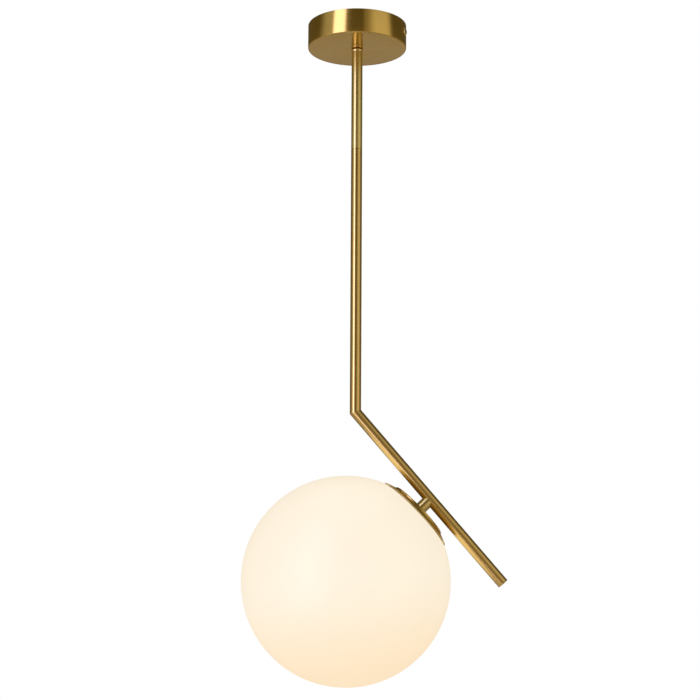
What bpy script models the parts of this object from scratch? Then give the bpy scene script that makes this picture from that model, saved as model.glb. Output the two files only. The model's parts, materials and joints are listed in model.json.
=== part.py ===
"""Pendant ceiling light: a brass rod with a cranked arm that carries an opal glass globe.

The origin is on the ceiling, at the middle of the canopy, with +Z up. The rod hangs down the Z axis and
its arm leans out towards +X. Pieces that touch keep a small gap, and screw threads are plain cylinders.
"""

import math

import bmesh
import bpy
from mathutils import Matrix, Vector

MM = 0.001

# Clearances
GAP = 0.3 * MM
SWIVEL_SPACE = 2 * MM
HOLE_CLEARANCE = 0.9 * MM

# How finely round pieces are divided
WIDE_SIDES = 40
TUBE_SIDES = 24
SMALL_SIDES = 16
ARC_STEPS = 3
SHARP_ANGLE = math.radians(35)

# Canopy
CANOPY_DIAMETER = 99 * MM
CANOPY_HEIGHT = 24.5 * MM
CANOPY_WALL = 1.0 * MM
CANOPY_EDGE_ROUND = 1.5 * MM
STOP_CIRCLE_RADIUS = 12.5 * MM
STOP_STUD_RADIUS = 1.5 * MM
STOP_STUD_HEIGHT = 4.5 * MM

# Mounting bracket, in a frame turned about Z so that its ears face the side screws
BRACKET_TURN = math.radians(-20)
BRACKET_WIDTH = 20 * MM
BRACKET_THICKNESS = 2 * MM
BRACKET_EAR_DROP = 16 * MM
BRACKET_TO_CANOPY = 2 * MM
CEILING_SLOT_OFFSET = 38 * MM
CEILING_SLOT_LENGTH = 9 * MM
CEILING_SLOT_WIDTH = 4.5 * MM
SIDE_SCREW_DROP = 11 * MM
SIDE_SCREW_RADIUS = 2 * MM
SIDE_SCREW_REACH = 9.5 * MM
SIDE_SCREW_HEAD_RADIUS = 3.75 * MM
SIDE_SCREW_HEAD_HEIGHT = 2.2 * MM
SIDE_SCREW_SOCKET_RADIUS = 1.45 * MM
SIDE_SCREW_SOCKET_DEPTH = 1.3 * MM

# Terminal block under the bracket
BLOCK_NEAR_FACE = 14 * MM
BLOCK_LENGTH = 18 * MM
BLOCK_WIDTH = 18 * MM
BLOCK_HEIGHT = 12 * MM
BLOCK_EDGE_ROUND = 0.6 * MM
POLE_SPACING = 9 * MM
POLE_DROP = 6 * MM
PEG_RADIUS = 1.5 * MM
PEG_SPACING = 9 * MM
TERMINAL_RADIUS = 2.6 * MM
TERMINAL_BORE_RADIUS = 1.7 * MM
TERMINAL_RECESS = 1.0 * MM
CLAMP_SCREW_RADIUS = 1.4 * MM
CLAMP_SCREW_SPACING = 9 * MM
CLAMP_SCREW_PROUD = 0.6 * MM
SLOT_WIDTH = 0.7 * MM
SLOT_DEPTH = 0.8 * MM

# Earth screw, its washer and its lug
EARTH_OFFSET = 24 * MM
EARTH_SCREW_RADIUS = 2 * MM
EARTH_HEAD_RADIUS = 3.5 * MM
EARTH_HEAD_HEIGHT = 2.4 * MM
EARTH_RING_RADIUS = 4.4 * MM
EARTH_LUG_THICKNESS = 1.0 * MM
EARTH_WASHER_THICKNESS = 0.9 * MM
EARTH_TONGUE_LENGTH = 10 * MM
EARTH_TONGUE_WIDTH = 3 * MM

# Rod: two tubes of one stock, joined by nipples
TUBE_DIAMETER = 11 * MM
TUBE_WALL = 1.2 * MM
NIPPLE_WALL = 0.9 * MM
NIPPLE_GRIP = 11 * MM
COLLAR_HEIGHT = 2.7 * MM
COLLAR_OVERSIZE = 0.5 * MM
COLLAR_ROUND = 0.4 * MM
TUBE_JOINT_DROP = 129 * MM
BEND_DROP = 393 * MM
ARM_SLOPE = math.radians(49)
ARM_LENGTH = 217.5 * MM
PLUG_THICKNESS = 1.2 * MM
PLUG_SPIGOT = 9 * MM
PLUG_CHAMFER = 0.3 * MM

# Nut and washers inside the canopy
WASHER_THICKNESS = 1.2 * MM
WASHER_RIM = 5.7 * MM
TAB_OVERHANG = 1.7 * MM
TAB_WIDTH = 4 * MM
LOCK_WASHER_RIM = 3.3 * MM
LOCK_WASHER_SLOT = 1.2 * MM
NUT_HEIGHT = 4.5 * MM
NUT_RIM = 3.0 * MM
NIPPLE_PROUD = 1.2 * MM

# Head: cap, stem and glass, on an axis through the arm
STEM_STATION = 111 * MM
HEAD_TILT = math.radians(46)
STEM_OVERSIZE = 0.4 * MM
STEM_LENGTH = 15.5 * MM
STEM_SADDLE_DEPTH = 2.5 * MM
HEAD_NIPPLE_SINK = 3 * MM
GLOBE_DIAMETER = 200 * MM
GLASS_WALL = 2.5 * MM
CAP_DIAMETER = 83 * MM
CAP_LIP_THICKNESS = 0.55 * MM
CAP_LIP_OVERLAP = 3.5 * MM
CAP_PLATE = 1.2 * MM
CAP_SHOULDER_WIDTH = 10.5 * MM
BOSS_THICKNESS = 3 * MM
BOSS_PROUD = 1.5 * MM
BOSS_ROUND = 0.9 * MM
NECK_RING_WALL = 4.2 * MM
NECK_RING_HEIGHT = 4.5 * MM
GASKET_THICKNESS = 0.9 * MM
GASKET_MARGIN = 0.3 * MM
HUB_PLATE = 2.5 * MM
HUB_WALL = 3 * MM
HUB_HEIGHT = 6.7 * MM

# Lampholder, for a lamp with a 27 mm screw cap
HOLDER_DIAMETER = 40 * MM
HOLDER_WALL = 2 * MM
HOLDER_CAP_HEIGHT = 13.5 * MM
HOLDER_BODY_HEIGHT = 25 * MM
HOLDER_EDGE_ROUND = 2 * MM
CONTACT_BLOCK_HEIGHT = 5.5 * MM
SHELL_WALL = 0.6 * MM
SHELL_HEIGHT = 17 * MM
CONTACT_STRIP_THICKNESS = 0.6 * MM
CONTACT_STRIP_WIDTH = 6 * MM
CONTACT_STRIP_HALF_LENGTH = 9 * MM
CONTACT_STRIP_DROP = 1.2 * MM
GRIP_HEIGHT = 4 * MM
GRIP_WALL = 3.2 * MM
HOLDER_LEAD_OFFSET = 8 * MM

# Lamp
LAMP_CAP_DIAMETER = 26.2 * MM
LAMP_CAP_HEIGHT = 22 * MM
LAMP_CAP_WALL = 0.5 * MM
LAMP_TIP_RADIUS = 4.6 * MM
LAMP_TIP_HEIGHT = 1.6 * MM
INSULATOR_HEIGHT = 3.2 * MM
LAMP_DIAMETER = 60 * MM
LAMP_LENGTH = 104 * MM
LAMP_PLASTIC_WALL = 1.4 * MM
LAMP_RIM_INSET = 1.3 * MM
LAMP_SHOULDER = 10 * MM
LED_BOARD_THICKNESS = 1.5 * MM
DRIVER_WIDTH = 16 * MM
DRIVER_HEIGHT = 24 * MM
DRIVER_THICKNESS = 1.6 * MM

# Leads and cable
CABLE_DIAMETER = 5 * MM
LEAD_RADIUS = 0.9 * MM
CORE_CIRCLE_RADIUS = 1.2 * MM
LEAD_BEND = 2.5 * MM
CABLE_BEND = 15 * MM
CABLE_STEM_TURN = 6 * MM
CABLE_TAIL_BEND = 3.4 * MM
CORE_RISE = math.radians(30)
CABLE_TAIL_REACH = 6.5 * MM
CABLE_ABOVE_NIPPLE = 2 * MM

# Sizes that follow from those above
CANOPY_RADIUS = CANOPY_DIAMETER / 2
CANOPY_FLOOR = -CANOPY_HEIGHT + CANOPY_WALL
EAR_FACE = CANOPY_RADIUS - CANOPY_WALL - BRACKET_TO_CANOPY
TUBE_RADIUS = TUBE_DIAMETER / 2
TUBE_BORE = TUBE_RADIUS - TUBE_WALL
NIPPLE_RADIUS = TUBE_BORE - GAP
NIPPLE_BORE = NIPPLE_RADIUS - NIPPLE_WALL
NIPPLE_HOLE = NIPPLE_RADIUS + GAP
CABLE_RADIUS = CABLE_DIAMETER / 2
CABLE_HOLE = CABLE_RADIUS + HOLE_CLEARANCE
STEM_RADIUS = TUBE_RADIUS + STEM_OVERSIZE

WASHER_BASE = CANOPY_FLOOR + GAP
LOCK_WASHER_BASE = WASHER_BASE + WASHER_THICKNESS + GAP
NUT_BASE = LOCK_WASHER_BASE + WASHER_THICKNESS + GAP
NIPPLE_TOP = NUT_BASE + NUT_HEIGHT + NIPPLE_PROUD
COLLAR_TOP = -CANOPY_HEIGHT - GAP
UPPER_TUBE_TOP = COLLAR_TOP - COLLAR_HEIGHT - GAP

GLOBE_RADIUS = GLOBE_DIAMETER / 2
CAP_RADIUS = CAP_DIAMETER / 2
CAP_SEAT_RADIUS = GLOBE_RADIUS + GAP
CAP_OUTER_RADIUS = CAP_SEAT_RADIUS + CAP_LIP_THICKNESS
MOUTH_RADIUS = CAP_RADIUS - CAP_LIP_OVERLAP
BOSS_RADIUS = CAP_RADIUS - CAP_SHOULDER_WIDTH
BOSS_TOP = math.sqrt(CAP_OUTER_RADIUS**2 - BOSS_RADIUS**2) + BOSS_PROUD
CAP_FLOOR_TOP = BOSS_TOP - BOSS_THICKNESS - GAP
CAP_FLOOR_BOTTOM = CAP_FLOOR_TOP - CAP_PLATE
NECK_RING_OUTER = MOUTH_RADIUS - GAP
THREAD_RADIUS = NECK_RING_OUTER - NECK_RING_WALL
MOUTH_PLANE = math.sqrt((CAP_OUTER_RADIUS - CAP_PLATE) ** 2 - MOUTH_RADIUS**2)
GASKET_TOP = MOUTH_PLANE - GAP
NECK_RING_TOP = GASKET_TOP - GASKET_THICKNESS - GAP
HUB_TOP = CAP_FLOOR_BOTTOM - GAP
HUB_BOTTOM = HUB_TOP - HUB_HEIGHT
HEAD_NUT_TOP = HUB_TOP - HUB_PLATE - GAP
HOLDER_TOP = HEAD_NUT_TOP - NUT_HEIGHT - GAP
HOLDER_RADIUS = HOLDER_DIAMETER / 2
HOLDER_SPLIT = HOLDER_TOP - HOLDER_CAP_HEIGHT
HEAD_REACH = BOSS_TOP + STEM_LENGTH

LAMP_CAP_RADIUS = LAMP_CAP_DIAMETER / 2
SHELL_BORE = LAMP_CAP_RADIUS + GAP
CONTACT_BLOCK_BOTTOM = HOLDER_SPLIT - CONTACT_BLOCK_HEIGHT
LAMP_TOP = CONTACT_BLOCK_BOTTOM - GAP - CONTACT_STRIP_DROP - CONTACT_STRIP_THICKNESS - GAP
LAMP_CAP_TOP = LAMP_TOP - LAMP_TIP_HEIGHT - INSULATOR_HEIGHT
LAMP_RADIUS = LAMP_DIAMETER / 2
LAMP_RIM = LAMP_TOP - LAMP_LENGTH + LAMP_RADIUS + LAMP_SHOULDER

# Finishes: sRGB-linear colour, roughness, metallic
FINISHES = {
    "brushed_brass": ((0.50, 0.34, 0.13), 0.30, 1.0),
    "polished_brass": ((0.62, 0.44, 0.18), 0.15, 1.0),
    "plain_brass": ((0.55, 0.40, 0.16), 0.40, 1.0),
    "zinc_steel": ((0.55, 0.56, 0.57), 0.38, 1.0),
    "aluminium": ((0.70, 0.70, 0.71), 0.35, 1.0),
    "opal_glass": ((0.93, 0.90, 0.84), 0.12, 0.0),
    "white_plastic": ((0.80, 0.79, 0.76), 0.45, 0.0),
    "black_plastic": ((0.03, 0.03, 0.03), 0.40, 0.0),
    "steatite": ((0.75, 0.72, 0.66), 0.50, 0.0),
    "silicone": ((0.60, 0.58, 0.54), 0.60, 0.0),
    "circuit_board": ((0.03, 0.16, 0.06), 0.45, 0.0),
    "white_sheath": ((0.70, 0.70, 0.68), 0.50, 0.0),
    "brown_core": ((0.13, 0.05, 0.02), 0.50, 0.0),
    "blue_core": ((0.03, 0.10, 0.35), 0.50, 0.0),
    "earth_core": ((0.25, 0.50, 0.04), 0.50, 0.0),
}


def clear_scene():
    for obj in list(bpy.data.objects):
        bpy.data.objects.remove(obj, do_unlink=True)


def new_frame(name, matrix):
    """An empty whose local axes a group of pieces is placed in."""
    frame = bpy.data.objects.new(name, None)
    frame.matrix_world = matrix
    bpy.context.scene.collection.objects.link(frame)
    return frame


def new_material(name, finish):
    colour, roughness, metallic = FINISHES[finish]
    material = bpy.data.materials.new(f"{name}_{finish}")
    material.use_nodes = True
    shader = material.node_tree.nodes["Principled BSDF"]
    shader.inputs["Base Color"].default_value = (*colour, 1)
    shader.inputs["Roughness"].default_value = roughness
    shader.inputs["Metallic"].default_value = metallic
    return material


def add_object(name, data, finish, parent):
    obj = bpy.data.objects.new(name, data)
    bpy.context.scene.collection.objects.link(obj)
    obj.parent = parent
    if finish:
        data.materials.append(new_material(name, finish))
    return obj


def add_mesh(name, bm, finish, parent):
    """Ends the bmesh as an object, smooth where its faces meet at a shallow angle."""
    bmesh.ops.recalc_face_normals(bm, faces=bm.faces)
    mesh = bpy.data.meshes.new(name)
    bm.to_mesh(mesh)
    bm.free()
    mesh.shade_smooth()
    mesh.set_sharp_from_angle(angle=SHARP_ANGLE)
    return add_object(name, mesh, finish, parent)


def turned(name, outline, finish, parent=None, sides=WIDE_SIDES):
    """A round piece: the outline of (radius, height) points turned about the parent's Z axis."""
    bm = bmesh.new()
    points = [bm.verts.new((radius, 0, height)) for radius, height in outline]
    meets_axis = outline[0][0] == 0 and outline[-1][0] == 0
    pairs = list(zip(points, points[1:]))
    if not meets_axis:
        pairs.append((points[-1], points[0]))
    edges = [bm.edges.new(pair) for pair in pairs]
    bmesh.ops.spin(
        bm,
        geom=points + edges,
        cent=(0, 0, 0),
        axis=(0, 0, 1),
        angle=2 * math.pi,
        steps=sides,
        use_merge=True,
    )
    bmesh.ops.remove_doubles(bm, verts=bm.verts, dist=GAP / 1000)
    return add_mesh(name, bm, finish, parent)


def ring(name, inner, outer, low, high, finish, parent=None, sides=WIDE_SIDES):
    """A plain washer, tube or spacer."""
    outline = [(inner, low), (outer, low), (outer, high), (inner, high)]
    return turned(name, outline, finish, parent, sides)


def arc(centre, radius, start, end, steps=ARC_STEPS):
    """Points of an arc in the plane of an outline, from one angle to another."""
    angles = [start + (end - start) * step / steps for step in range(steps + 1)]
    return [
        (centre[0] + radius * math.cos(angle), centre[1] + radius * math.sin(angle))
        for angle in angles
    ]


def sphere_arc(radius, start_radius, end_radius, steps=ARC_STEPS):
    """Points of a ball's upper outline between two distances from its axis."""
    return arc((0, 0), radius, math.acos(start_radius / radius), math.acos(end_radius / radius), steps)


def block(name, low, high, finish, parent=None):
    """A box between two corners."""
    low, high = Vector(low), Vector(high)
    bm = bmesh.new()
    bmesh.ops.create_cube(bm, size=1)
    size = high - low
    for vert in bm.verts:
        vert.co = low + Vector((axis + 0.5) * size[i] for i, axis in enumerate(vert.co))
    return add_mesh(name, bm, finish, parent)


def rounded_block(name, low, high, width, finish, parent=None):
    """A box with its edges rounded by a Bevel modifier."""
    obj = block(name, low, high, finish, parent)
    bevel = obj.modifiers.new("rounded_edges", "BEVEL")
    bevel.width = width
    bevel.segments = 1
    return obj


def extruded(name, outline, half_width, finish, parent=None):
    """A bent strip: an outline of (x, z) points, given width along Y."""
    bm = bmesh.new()
    face = bm.faces.new([bm.verts.new((x, -half_width, z)) for x, z in outline])
    swept = bmesh.ops.extrude_face_region(bm, geom=[face])["geom"]
    moved = [item for item in swept if isinstance(item, bmesh.types.BMVert)]
    bmesh.ops.translate(bm, verts=moved, vec=(0, 2 * half_width, 0))
    return add_mesh(name, bm, finish, parent)


def as_tool(obj):
    """Marks a helper solid that only shapes another piece."""
    obj.hide_render = True
    obj.display_type = "WIRE"
    return obj


def combine(target, tool, operation):
    boolean = target.modifiers.new(tool.name, "BOOLEAN")
    boolean.operation = operation
    boolean.object = as_tool(tool)


def rod_between(name, start, end, radius, sides, parent):
    """A plain round rod between two points of the parent's frame."""
    start, end = Vector(start), Vector(end)
    length = (end - start).length
    outline = [(0, 0), (radius, 0), (radius, length), (0, length)]
    rod = turned(name, outline, None, parent, sides)
    turn = (end - start).to_track_quat("Z", "Y").to_matrix().to_4x4()
    rod.matrix_local = Matrix.Translation(start) @ turn
    return rod


def drill(target, start, end, radius, sides=SMALL_SIDES):
    """Cuts a round hole along a line of the target's own frame."""
    name = f"{target.name}_hole_{len(target.modifiers) + 1}"
    combine(target, rod_between(name, start, end, radius, sides, target.parent), "DIFFERENCE")


def mill(target, low, high):
    """Cuts a square-cornered slot out of the target."""
    name = f"{target.name}_slot_{len(target.modifiers) + 1}"
    combine(target, block(name, low, high, None, target.parent), "DIFFERENCE")


def weld_on(target, tool):
    """Joins a helper solid to the target."""
    combine(target, tool, "UNION")


def rounded_route(corners, bend, steps=5):
    """The corners of a route with each inner one replaced by an arc of the bend radius."""
    corners = [Vector(corner) for corner in corners]
    route = [corners[0]]
    for before, corner, after in zip(corners, corners[1:], corners[2:]):
        back, ahead = (before - corner).normalized(), (after - corner).normalized()
        half_angle = back.angle(ahead) / 2
        inward = (back + ahead).normalized()
        centre = corner + inward * bend / math.sin(half_angle)
        start = corner + back * bend / math.tan(half_angle)
        turn_axis = back.cross(ahead).normalized()
        turn = -(math.pi - 2 * half_angle)
        for step in range(steps + 1):
            spoke = Matrix.Rotation(turn * step / steps, 3, turn_axis) @ (start - centre)
            route.append(centre + spoke)
    route.append(corners[-1])
    return route


def lead(name, route, radius, finish, parent=None):
    """A round wire or cable along a route of points."""
    curve = bpy.data.curves.new(name, "CURVE")
    curve.dimensions = "3D"
    curve.bevel_depth = radius
    curve.bevel_resolution = 2
    curve.use_fill_caps = True
    spline = curve.splines.new("POLY")
    spline.points.add(len(route) - 1)
    for point, place in zip(spline.points, route):
        point.co = (*place, 1)
        point.radius = 1
    return add_object(name, curve, finish, parent)


def mitred_tube(name, outer, inner, start, corner, end, finish):
    """One tube of two straight runs in the XZ plane, joined at a mitre."""
    first, second = (corner - start).normalized(), (end - corner).normalized()
    mitre_normal = (first + second).normalized()
    across = Vector((0, 1, 0))
    bm = bmesh.new()
    skins = []
    for radius in (outer, inner):
        stations = []
        for place, run in ((start, first), (corner, first), (end, second)):
            side = across.cross(run)
            ring_points = []
            for step in range(TUBE_SIDES):
                angle = 2 * math.pi * step / TUBE_SIDES
                offset = radius * (math.cos(angle) * side + math.sin(angle) * across)
                if place is corner:
                    offset -= run * offset.dot(mitre_normal) / run.dot(mitre_normal)
                ring_points.append(bm.verts.new(place + offset))
            stations.append(ring_points)
        skins.append(stations)
    outer_skin, inner_skin = skins
    rows = list(zip(outer_skin, outer_skin[1:])) + list(zip(inner_skin, inner_skin[1:]))
    rows += [(outer_skin[0], inner_skin[0]), (outer_skin[-1], inner_skin[-1])]
    for lower, upper in rows:
        for step in range(TUBE_SIDES):
            after = (step + 1) % TUBE_SIDES
            bm.faces.new((lower[step], lower[after], upper[after], upper[step]))
    return add_mesh(name, bm, finish, None)


def hex_nut(name, low, parent=None):
    """A six-sided nut on the nipple stock."""
    flat_radius = NIPPLE_RADIUS + NUT_RIM
    outline = [(0, low), (0, low + NUT_HEIGHT)]
    corner_radius = flat_radius / math.cos(math.pi / 6)
    outline[1:1] = [(corner_radius, low), (corner_radius, low + NUT_HEIGHT)]
    nut = turned(name, outline, "zinc_steel", parent, sides=6)
    drill(nut, (0, 0, low - GAP), (0, 0, low + NUT_HEIGHT + GAP), NIPPLE_HOLE, TUBE_SIDES)
    return nut


# ---- Ceiling side -------------------------------------------------------------------------------


def make_canopy(bracket_frame):
    edge_centre = (CANOPY_RADIUS - CANOPY_EDGE_ROUND, -CANOPY_HEIGHT + CANOPY_EDGE_ROUND)
    inner_round = CANOPY_EDGE_ROUND - CANOPY_WALL
    outline = [(NIPPLE_HOLE, -CANOPY_HEIGHT)]
    outline += arc(edge_centre, CANOPY_EDGE_ROUND, -math.pi / 2, 0)
    outline += [(CANOPY_RADIUS, 0), (CANOPY_RADIUS - CANOPY_WALL, 0)]
    outline += arc(edge_centre, inner_round, 0, -math.pi / 2, steps=2)
    outline += [(NIPPLE_HOLE, CANOPY_FLOOR)]
    canopy = turned("canopy", outline, "brushed_brass", bracket_frame)
    for side in (-1, 1):
        inside = (side * EAR_FACE, 0, -SIDE_SCREW_DROP)
        outside = (side * (CANOPY_RADIUS + CANOPY_WALL), 0, -SIDE_SCREW_DROP)
        drill(canopy, inside, outside, SIDE_SCREW_RADIUS + GAP)
    stud = [(0, WASHER_BASE), (STOP_STUD_RADIUS, WASHER_BASE)]
    stud += [(radius, WASHER_BASE + STOP_STUD_HEIGHT) for radius in (STOP_STUD_RADIUS, 0)]
    stop_stud = turned("stop_stud", stud, "plain_brass", sides=SMALL_SIDES)
    stop_stud.location.x = -STOP_CIRCLE_RADIUS


def make_bracket(frame):
    """A flat bar with both ends bent down, its slots at the ceiling and its threaded ears."""
    inner_face = EAR_FACE - BRACKET_THICKNESS
    corner = (EAR_FACE - BRACKET_THICKNESS, -BRACKET_THICKNESS)
    right_bend = arc(corner, BRACKET_THICKNESS, math.pi / 2, 0, steps=ARC_STEPS)
    left_bend = [(-x, z) for x, z in reversed(right_bend)]
    outline = right_bend + [(EAR_FACE, -BRACKET_EAR_DROP), (inner_face, -BRACKET_EAR_DROP), corner]
    outline += [(-corner[0], corner[1]), (-inner_face, -BRACKET_EAR_DROP)]
    outline += [(-EAR_FACE, -BRACKET_EAR_DROP)] + left_bend
    bracket = extruded("mounting_bracket", outline, BRACKET_WIDTH / 2, "zinc_steel", frame)
    for side in (-1, 1):
        ear = side * (inner_face - GAP), side * (EAR_FACE + GAP)
        drill(
            bracket,
            (ear[0], 0, -SIDE_SCREW_DROP),
            (ear[1], 0, -SIDE_SCREW_DROP),
            SIDE_SCREW_RADIUS + GAP,
        )
        middle = side * CEILING_SLOT_OFFSET
        half_length, half_width = CEILING_SLOT_LENGTH / 2, CEILING_SLOT_WIDTH / 2
        mill(
            bracket,
            (middle - half_length, -half_width, -BRACKET_THICKNESS - GAP),
            (middle + half_length, half_width, GAP),
        )
    through = ((0, 0, -BRACKET_THICKNESS - GAP), (0, 0, GAP))
    for offset in peg_offsets():
        drill(bracket, *(Vector(end) + Vector((offset, 0, 0)) for end in through), PEG_RADIUS + GAP)
    earth = Vector((-EARTH_OFFSET, 0, 0))
    drill(bracket, *(Vector(end) + earth for end in through), EARTH_SCREW_RADIUS + GAP)


def make_side_screws(frame):
    under_head = CANOPY_RADIUS + GAP
    tip = CANOPY_RADIUS - SIDE_SCREW_REACH
    rise, half = SIDE_SCREW_HEAD_HEIGHT, SIDE_SCREW_HEAD_RADIUS
    dome_radius = (half**2 + rise**2) / (2 * rise)
    centre = (0, under_head + rise - dome_radius)
    edge_angle = math.asin((under_head - centre[1]) / dome_radius)
    outline = [(0, tip), (SIDE_SCREW_RADIUS, tip), (SIDE_SCREW_RADIUS, under_head)]
    outline += arc(centre, dome_radius, edge_angle, math.pi / 2, steps=5)[:-1]
    outline.append((0, under_head + rise))
    for number, turn in ((1, 0), (2, math.pi)):
        name = f"side_screw_{number}"
        place = Matrix.Rotation(turn, 4, "Z") @ Matrix.Translation((0, 0, -SIDE_SCREW_DROP))
        screw_frame = new_frame(f"{name}_axis", place @ Matrix.Rotation(math.pi / 2, 4, "Y"))
        screw_frame.parent = frame
        screw = turned(name, outline, "polished_brass", screw_frame, sides=SMALL_SIDES)
        top = under_head + rise
        socket = (0, 0, top - SIDE_SCREW_SOCKET_DEPTH), (0, 0, top + GAP)
        drill(screw, *socket, SIDE_SCREW_SOCKET_RADIUS, sides=6)


def peg_offsets():
    middle = BLOCK_NEAR_FACE + BLOCK_LENGTH / 2
    return [middle + side * PEG_SPACING / 2 for side in (-1, 1)]


def make_terminals(frame):
    """The two-pole block, its terminal tubes and its four clamp screws."""
    top = -BRACKET_THICKNESS - GAP
    bottom = top - BLOCK_HEIGHT
    pole_height = top - POLE_DROP
    near, far = BLOCK_NEAR_FACE, BLOCK_NEAR_FACE + BLOCK_LENGTH
    low = (near, -BLOCK_WIDTH / 2, bottom)
    high = (far, BLOCK_WIDTH / 2, top)
    body = rounded_block("terminal_block", low, high, BLOCK_EDGE_ROUND, "white_plastic", frame)
    for number, offset in enumerate(peg_offsets(), 1):
        peg = rod_between(
            f"block_peg_{number}", (offset, 0, pole_height), (offset, 0, -GAP), PEG_RADIUS, SMALL_SIDES, frame
        )
        weld_on(body, peg)
    screw_number = 0
    middle = (near + far) / 2
    for pole, side in enumerate((1, -1), 1):
        across = side * POLE_SPACING / 2
        ends = [Vector((x, across, pole_height)) for x in (near - GAP, far + GAP)]
        drill(body, *ends, TERMINAL_RADIUS + GAP)
        tube = make_terminal_tube(pole, near, far, across, pole_height, frame)
        for end in (-1, 1):
            along = middle + end * CLAMP_SCREW_SPACING / 2
            below, inside = (along, across, bottom - GAP), (along, across, pole_height)
            drill(body, below, inside, CLAMP_SCREW_RADIUS + GAP)
            drill(tube, below, inside, CLAMP_SCREW_RADIUS + GAP)
            screw_number += 1
            head = bottom - CLAMP_SCREW_PROUD
            tip = pole_height - LEAD_RADIUS - GAP
            outline = [(0, head), (CLAMP_SCREW_RADIUS, head), (CLAMP_SCREW_RADIUS, tip), (0, tip)]
            axis = new_frame(f"terminal_screw_axis_{screw_number}", Matrix.Translation((along, across, 0)))
            axis.parent = frame
            screw = turned(
                f"terminal_screw_{screw_number}", outline, "zinc_steel", axis, sides=SMALL_SIDES
            )
            cut_slot(screw, head)


def make_terminal_tube(pole, near, far, across, height, frame):
    start = (near + TERMINAL_RECESS, across, height)
    end = (far - TERMINAL_RECESS, across, height)
    length = end[0] - start[0]
    name = f"terminal_tube_{pole}"
    outline = [
        (TERMINAL_BORE_RADIUS, 0),
        (TERMINAL_RADIUS, 0),
        (TERMINAL_RADIUS, length),
        (TERMINAL_BORE_RADIUS, length),
    ]
    tube = turned(name, outline, "plain_brass", frame, sides=SMALL_SIDES)
    tube.matrix_local = Matrix.Translation(start) @ Matrix.Rotation(math.pi / 2, 4, "Y")
    return tube


def cut_slot(screw, head):
    """A driver slot across a screw head that faces down."""
    reach = 2 * EARTH_HEAD_RADIUS
    mill(screw, (-reach, -SLOT_WIDTH / 2, head - GAP), (reach, SLOT_WIDTH / 2, head + SLOT_DEPTH))


def make_earth_point(frame):
    """The earth screw under the bracket, with its washer and the lug that holds the earth lead."""
    axis = new_frame("earth_axis", Matrix.Translation((-EARTH_OFFSET, 0, 0)))
    axis.parent = frame
    hole = EARTH_SCREW_RADIUS + GAP
    lug_top = -BRACKET_THICKNESS - GAP
    lug_bottom = lug_top - EARTH_LUG_THICKNESS
    lug = ring("earth_lug", hole, EARTH_RING_RADIUS, lug_bottom, lug_top, "plain_brass", axis, SMALL_SIDES)
    tongue_start = EARTH_RING_RADIUS - EARTH_LUG_THICKNESS
    tongue = block(
        "earth_lug_tongue",
        (tongue_start, -EARTH_TONGUE_WIDTH / 2, lug_bottom),
        (EARTH_TONGUE_LENGTH, EARTH_TONGUE_WIDTH / 2, lug_top),
        None,
        axis,
    )
    weld_on(lug, tongue)
    washer_top = lug_bottom - GAP
    washer_bottom = washer_top - EARTH_WASHER_THICKNESS
    ring(
        "earth_washer", hole, EARTH_RING_RADIUS, washer_bottom, washer_top, "zinc_steel", axis, SMALL_SIDES
    )
    head_top = washer_bottom - GAP
    head_bottom = head_top - EARTH_HEAD_HEIGHT
    outline = [(0, -GAP), (EARTH_SCREW_RADIUS, -GAP), (EARTH_SCREW_RADIUS, head_top)]
    outline += [(EARTH_HEAD_RADIUS, head_top), (EARTH_HEAD_RADIUS, head_bottom), (0, head_bottom)]
    screw = turned("earth_screw", outline, "plain_brass", axis, sides=SMALL_SIDES)
    cut_slot(screw, head_bottom)


def make_ceiling_wiring(frame):
    """The cable's last stretch, which stays with the bracket, and its three cores."""
    start = Vector((0, 0, NIPPLE_TOP + CABLE_ABOVE_NIPPLE + GAP))
    pole_height = -BRACKET_THICKNESS - GAP - POLE_DROP
    corner = Vector((0, 0, pole_height))
    end = Vector((CABLE_TAIL_REACH, 0, pole_height))
    route = rounded_route((start, corner, end), CABLE_TAIL_BEND)
    lead("cable_tail", route, CABLE_RADIUS, "white_sheath", frame)
    cores = end + Vector((GAP, 0, 0))
    inside = BLOCK_NEAR_FACE + CLAMP_SCREW_SPACING
    for name, finish, side in (("live_lead", "brown_core", 1), ("neutral_lead", "blue_core", -1)):
        offset = Vector((0, side * math.cos(CORE_RISE), math.sin(CORE_RISE))) * CORE_CIRCLE_RADIUS
        entry = Vector((BLOCK_NEAR_FACE - LEAD_BEND, side * POLE_SPACING / 2, pole_height))
        clear = cores + offset + Vector((LEAD_BEND, 0, 0))
        route = (cores + offset, clear, entry, (inside, entry.y, entry.z))
        lead(name, rounded_route(route, LEAD_BEND / 2, steps=ARC_STEPS), LEAD_RADIUS, finish, frame)
    first = cores - Vector((0, 0, CORE_CIRCLE_RADIUS))
    straight = first + Vector((LEAD_RADIUS, 0, 0))
    dropped = straight + Vector((LEAD_BEND, 0, -LEAD_BEND))
    lug_end = -EARTH_OFFSET + EARTH_TONGUE_LENGTH + GAP
    lug_height = -BRACKET_THICKNESS - GAP - EARTH_LUG_THICKNESS
    beside = BRACKET_WIDTH / 2 + LEAD_BEND
    route = (
        first,
        straight,
        dropped,
        (dropped.x, -beside, dropped.z),
        (-NIPPLE_RADIUS, -beside, pole_height),
        (lug_end + LEAD_BEND, 0, lug_height),
        (lug_end, 0, lug_height),
    )
    lead("earth_lead", rounded_route(route, LEAD_BEND / 2, steps=ARC_STEPS), LEAD_RADIUS, "earth_core", frame)


# ---- Hanging frame ------------------------------------------------------------------------------


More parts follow.
